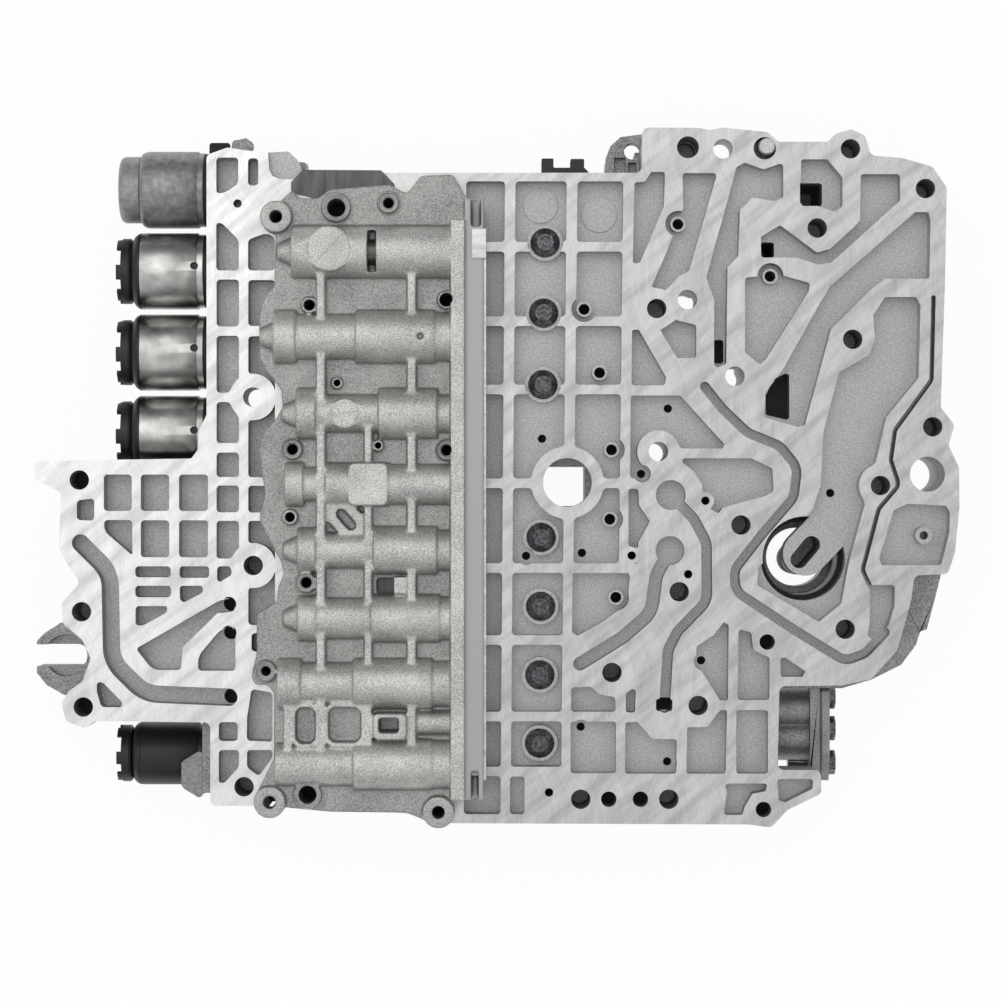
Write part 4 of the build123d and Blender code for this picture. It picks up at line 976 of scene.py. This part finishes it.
@dataclass
class BoreSpring(Assembly):
    """The coil spring behind one spool valve."""

    number: int = 1
    axis_y: float = 91.5
    axis_z: float = 8.0
    fixed_x: float = -105.0
    length: float = 20.0
    wire_radius: float = 0.44
    coil_radius: float = 3.75
    turns: int = 8
    keep_share: float = 0.75

    def build(self, finish: Material) -> None:
        """Wind the spring from a round wire.

        Args:
            finish: The wire's material.
        """
        wire = self.wire_radius * MM
        bpy.ops.mesh.primitive_circle_add(vertices=8, radius=wire, location=(0, 0, 0))
        spring = bpy.context.object
        with editing(spring):
            bpy.ops.transform.rotate(value=math.pi / 2, orient_axis="X", center_override=(0, 0, 0))
            bpy.ops.transform.translate(value=(self.coil_radius * MM, 0, wire))
        pitch = (self.length * MM - 2 * wire) / self.turns
        modify(spring, "SCREW", axis="Z", screw_offset=pitch, iterations=self.turns, steps=20,
               render_steps=20)
        close_mesh(spring)
        spring.rotation_euler = Axis.RIGHT.value
        spring.location = Vector((self.fixed_x, self.axis_y, self.axis_z)) * MM
        settle(spring, f"bore_spring_{self.number}")
        smooth(spring, 50)
        self.keep(spring, finish, "spring_wire", f"spool_spring_{self.number}")
        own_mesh(spring)


SOLENOID_ROWS = (
    (Can.PLAIN, 120.4), (Can.STEEL, 87.0), (Can.STEEL, 53.6), (Can.STEEL, 20.2), (Can.MOULDED, -111.0),
)


@dataclass
class Solenoid(Assembly):
    """One solenoid: can or moulded shell, bobbin with connector, and the face ring beside the can."""

    number: int = 1
    seal: Material | None = None
    make: Can = Can.STEEL
    axis_y: float = 87.0
    axis_z: float = -34.0
    can_left: float = -173.8
    can_right: float = -148.0
    radius: float = 15.7
    shell: float = 1.2
    groove_x: float = -150.4
    groove_radius: float = 15.1
    bore: float = 6.1
    bore_left: float = -174.1
    tip: float = 0.02
    rim_x: float = -181.6
    rim: Point = (11.7, 13.4)
    cap_left: float = -182.7
    face_right: float = -144.65
    face_hole: float = 9.0
    tab_out: float = 1.8
    tabs: Points = (
        (-17.0, 9.0), (43.0, 66.0), (-68.0, -42.0), (100.0, 130.0), (-135.0, -100.0), (165.0, 195.0),
    )

    @property
    def place(self) -> Triple:
        """Where the turned pieces' axis starts."""
        return (0.0, self.axis_y, self.axis_z)

    @property
    def inside(self) -> float:
        """The radius that fits inside the can."""
        return self.radius - self.shell - 0.02

    @property
    def bobbin(self) -> list[Point]:
        """The profile of the hollow bobbin inside the can, up to the can's closed end."""
        right = self.can_right - 2.05
        return [(self.bore_left, self.tip), (self.bore_left, self.bore), (right, self.bore),
                (right, self.inside)]

    def build(self, can_finish: Material, end_finish: Material) -> None:
        """Build the can and the connector end, as its make has them.

        Args:
            can_finish: The can's material.
            end_finish: The connector's or the cap's material.
        """
        if self.make is Can.MOULDED:
            self.radius, self.groove_radius, self.rim = 12.9, 12.0, (10.4, 11.6)
        can = self.build_can()
        first, last, edge = self.can_right + 0.05, self.face_right, self.radius - 0.9
        profile = [(first, self.face_hole), (first, edge), (last, edge), (last, self.face_hole)]
        face = turned(f"solenoid_{self.number}_face_ring", profile, self.place, Axis.RIGHT, 64)
        smooth(face, 40)
        self.keep(face, self.seal, "seal_rubber")
        slot = "black_moulding" if self.make is Can.MOULDED else "solenoid_steel"
        self.keep(can, can_finish, slot, f"solenoid_{self.number}_can")
        plain = self.make is Can.PLAIN
        end = self.build_cap() if plain else self.build_connector()
        slot = "grey_moulding" if plain else "black_moulding"
        self.keep(end, end_finish, slot, f"solenoid_{self.number}_connector")

    def build_can(self) -> Piece:
        """Turn the can as a cup with a closed right end and a groove next to it.

        Returns:
            The can.
        """
        inner, outer = self.radius - self.shell, self.radius
        left = self.can_left
        shoulder = [(left, inner), (left, outer - 0.5), (left + 0.15, outer - 0.15), (left + 0.5, outer)]
        if self.make is Can.PLAIN:
            shoulder = [(left + 3.0, inner), (left + 0.4, inner - 1.2), (left, inner - 1.6),
                        (left - 0.4, inner - 1.2), (left - 0.2, inner - 0.4), (left + 0.5, outer - 0.8),
                        (left + 1.5, outer - 0.25), (left + 2.8, outer)]
        profile = [(self.can_right - 2, self.tip), (self.can_right - 2, inner), *shoulder,
                   (self.groove_x - 0.4, outer), (self.groove_x, outer - 0.3),
                   (self.groove_x, self.groove_radius), (self.can_right, self.groove_radius),
                   (self.can_right, self.tip)]
        can = turned(f"solenoid_{self.number}_shell", profile, self.place, Axis.RIGHT, 96)
        if self.make is Can.STEEL:
            hole = [(-21.5, 1.6), (-14.0, 1.6)]
            place = (self.groove_x - 0.9, self.axis_y + 1.2, 0.0)
            cut(can, turned("vent_hole", hole, place, Axis.UP, 24))
        smooth(can, 40)
        return can

    def build_cap(self) -> Piece:
        """Turn the plain cap and the bobbin behind it.

        Returns:
            The cap.
        """
        inner, ring_x, left = self.inside, self.can_left, self.cap_left
        profile = [*self.bobbin, (ring_x + 3.1, inner), (ring_x + 0.6, inner - 1.3), (ring_x - 0.3, 13.1),
                   (ring_x - 0.5, 13.6), (left + 2.4, 13.6), (left + 1.3, 13.3), (left + 0.5, 12.6),
                   (left + 0.12, 11.6), (left, 10.4), (left, self.tip)]
        cap = turned(f"solenoid_{self.number}_cap", profile, self.place, Axis.RIGHT, 96)
        smooth(cap, 40)
        return cap

    def build_connector(self) -> Piece:
        """Turn the connector end, then grow its rim's tabs and cut its socket, with two pins in it.

        Returns:
            The connector end with its bobbin.
        """
        ring_x, outer, rim_x = self.can_left, self.radius, self.rim_x
        low, high = self.rim
        profile = [*self.bobbin, (ring_x, self.inside), (ring_x, outer - 0.1), (ring_x - 0.8, outer - 0.15),
                   (ring_x - 1.8, outer - 0.6), (ring_x - 2.7, outer - 1.4), (ring_x - 3.3, outer - 2.3),
                   (ring_x - 3.7, outer - 3.4), (ring_x - 4.1, high - 0.6), (ring_x - 4.5, high - 0.5),
                   (ring_x - 4.7, high), (rim_x, high), (rim_x, low), (rim_x + 3.0, low - 0.4),
                   (rim_x + 3.0, low - 1.8), (rim_x + 0.6, low - 2.0), (rim_x + 0.6, self.tip)]
        end = turned(f"solenoid_{self.number}_end", profile, self.place, Axis.RIGHT, 96)
        grow_faces(end, self.on_rim, (-self.tab_out, 0.0, 0.0))
        y, z = self.axis_y, self.axis_z
        cut(end, block("socket_cut", (rim_x - 2.0, y - 5.2, z - 2.8), (rim_x + 6.0, y + 5.2, z + 2.8), 0.4))
        pins = [block("pin", (rim_x + 1.0, pin_y - 0.9, z - 0.4), (rim_x + 7.0, pin_y + 0.9, z + 0.4), 0.2)
                for pin_y in (y - 2.4, y + 2.4)]
        smooth(end, 35)
        return joined([end, *pins], end.name)

    def on_rim(self, middle: Vector) -> bool:
        """Say whether a face of the connector's end ring belongs to a tab.

        Args:
            middle: The face's middle.

        Returns:
            Whether it lies on the ring and within a tab's angles.
        """
        y, z = middle.y - self.axis_y, middle.z - self.axis_z
        angle = math.degrees(math.atan2(y, z))
        out = math.hypot(y, z)
        inside = any(first < turn < last for first, last in self.tabs for turn in (angle, angle + 360))
        return abs(middle.x - self.rim_x) < 0.05 and self.rim[0] - 0.1 < out < self.rim[1] + 0.1 and inside


@dataclass
class Studio:
    """The floor, the soft light and the camera straight above the lands.

    Each row of the falloff has an axis, the two heights along it and the brightness at each of them.
    """

    target: Point = (-26.8, -7.2)
    distance: float = 1200.0
    seen_width: float = 400.4
    sensor: float = 36.0
    floor_size: float = 12.0
    falloff: tuple[Sequence[Any], ...] = (
        (1, -0.98, -0.6, 0.45, 1.0), (1, 0.68, 0.84, 1.0, 0.3), (2, 0.05, 0.35, 0.35, 0.78),
    )
    key_place: Triple = (-0.5, 0.6, 1.6)
    key_size: float = 1.5
    key_energy: float = 5.0

    def floor(self, level: float) -> None:
        """Lay a pale floor.

        Args:
            level: Its height, in metres.
        """
        bpy.ops.mesh.primitive_plane_add(size=self.floor_size, location=(0, 0, level - 0.0002))
        plane = bpy.context.object
        plane.name = "floor"
        material, tree, _ = new_material("pale_floor")
        tree.nodes.clear()
        path = add_node(tree, "LightPath")
        seen = path.outputs["Is Camera Ray"]
        for other in ("Is Glossy Ray", "Is Transmission Ray"):
            seen = add_node(tree, "Math", {0: seen, 1: path.outputs[other]}, operation="MAXIMUM")
        share = add_node(tree, "Math", {0: seen, 1: 0.95}, operation="MULTIPLY")
        paper = add_node(tree, "BsdfDiffuse", {"Color": linear("#f4f4f4")})
        white = add_node(tree, "Emission", {"Color": (1, 1, 1, 1), "Strength": 1.0})
        mixed = add_node(tree, "MixShader", {0: share, 1: paper, 2: white})
        add_node(tree, "OutputMaterial", {"Surface": mixed})
        plane.data.materials.append(material)
        plane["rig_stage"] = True

    def light(self) -> None:
        """Set a dome that is bright overhead, and one soft key light."""
        world = bpy.data.worlds.new("studio_dome")
        bpy.context.scene.world = world
        world.use_nodes = True
        tree = world.node_tree
        tree.nodes.clear()
        place = add_node(tree, "TexCoord").outputs["Generated"]
        split = add_node(tree, "SeparateXYZ", {0: place})
        # Bright overhead and towards both ends, dark towards the two long sides
        level = None
        for output, low, high, dark, bright in self.falloff:
            span = {"Value": split.outputs[output], "From Min": low, "From Max": high, "To Min": dark,
                    "To Max": bright}
            share = add_node(tree, "MapRange", span, interpolation_type="SMOOTHSTEP")
            if level is not None:
                share = add_node(tree, "Math", {0: level, 1: share}, operation="MULTIPLY")
            level = share
        back = add_node(tree, "Background", {"Color": (1, 1, 1, 1), "Strength": level})
        add_node(tree, "OutputWorld", {"Surface": back})
        bpy.ops.object.light_add(type="AREA", location=self.key_place)
        key = bpy.context.object
        key.name = "key_softbox"
        key.data.shape = "SQUARE"
        key.data.size = self.key_size
        key.data.energy = self.key_energy
        key.rotation_euler = (-key.location).to_track_quat("-Z", "Y").to_euler()

    def camera(self) -> None:
        """Stand the camera straight above, with the photograph's frame."""
        data = bpy.data.cameras.new("camera")
        data.sensor_width = self.sensor
        data.lens = self.sensor * self.distance / self.seen_width
        camera = bpy.data.objects.new("camera", data)
        bpy.context.scene.collection.objects.link(camera)
        camera.location = (self.target[0] * MM, self.target[1] * MM, self.distance * MM)
        bpy.context.scene.camera = camera


def main() -> None:
    """Build every sub-assembly around the frame, then the studio."""
    logging.basicConfig(level=logging.INFO, format="%(name)s %(message)s")
    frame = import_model()
    bpy.ops.object.select_all(action="DESELECT")
    cad_low, cad_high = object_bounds()
    nodes = frame["nodes"]

    made = {slot: finish.material() for slot, finish in FINISHES.items()}
    # The upper casting gets painted shade below 12 mm, darkest at 7.8 mm
    upper_cast = CastAluminium("shot_blasted_upper_casting", milled_from_x=-0.041,
                               shade_below=(0.012, 0.0078, 0.66)).material()
    lower_cast = CastAluminium("shot_blasted_lower_casting", dark="#6c6c6b", light="#b6b6b4").material()
    ChannelPlate(nodes).build(made["milled_casting"])
    UpperHousing(nodes).build(upper_cast)
    LowerHousing(nodes).build(lower_cast)
    DrilledSheet(nodes).build(made["dark_sheet"])
    bolts = (*((x, y, BOLT_RADIUS) for x, y in THROUGH_HOLES + DARK_HOLES), WIDE_HOLE)
    # The lower separator is painted near black, as painted shade between the castings
    DrilledSheet(nodes, node="lower_separator_plate", holes=bolts, collar=(79.7, 134.4, 3.42, 4.7),
                 low=-22.0, high=-15.0).build(SHADE_DARK_SHEET.material())
    PlateScrews(nodes).build(made["black_screws"])
    for number, y in enumerate(SPOOL_ROWS, start=1):
        BoreSpring(nodes, number=number, axis_y=y).build(made["spring_wire"])
    black, seal = made["black_moulding"], made["seal_rubber"]
    makes = {Can.PLAIN: (PHOSPHATED_STEEL.material(), made["grey_moulding"]),
             Can.STEEL: (made["solenoid_steel"], black), Can.MOULDED: (black, black)}
    for number, (make, y) in enumerate(SOLENOID_ROWS, start=1):
        Solenoid(nodes, number=number, seal=seal, make=make, axis_y=y).build(*makes[make])

    slots = {row["node"]: row["material_slot"] for row in frame["record"]["subparts"]}
    rest = Assembly(nodes)
    for node, slot in slots.items():
        rest.dress(node, made[slot])
    rest.dress("end_cover", lower_cast)
    rest.dress("end_cover_screws", made["black_screws"])

    studio = Studio()
    studio.floor(cad_low.z)
    studio.light()
    studio.camera()
    bpy.context.scene.view_settings.view_transform = "Standard"


if __name__ == "__main__":
    main()
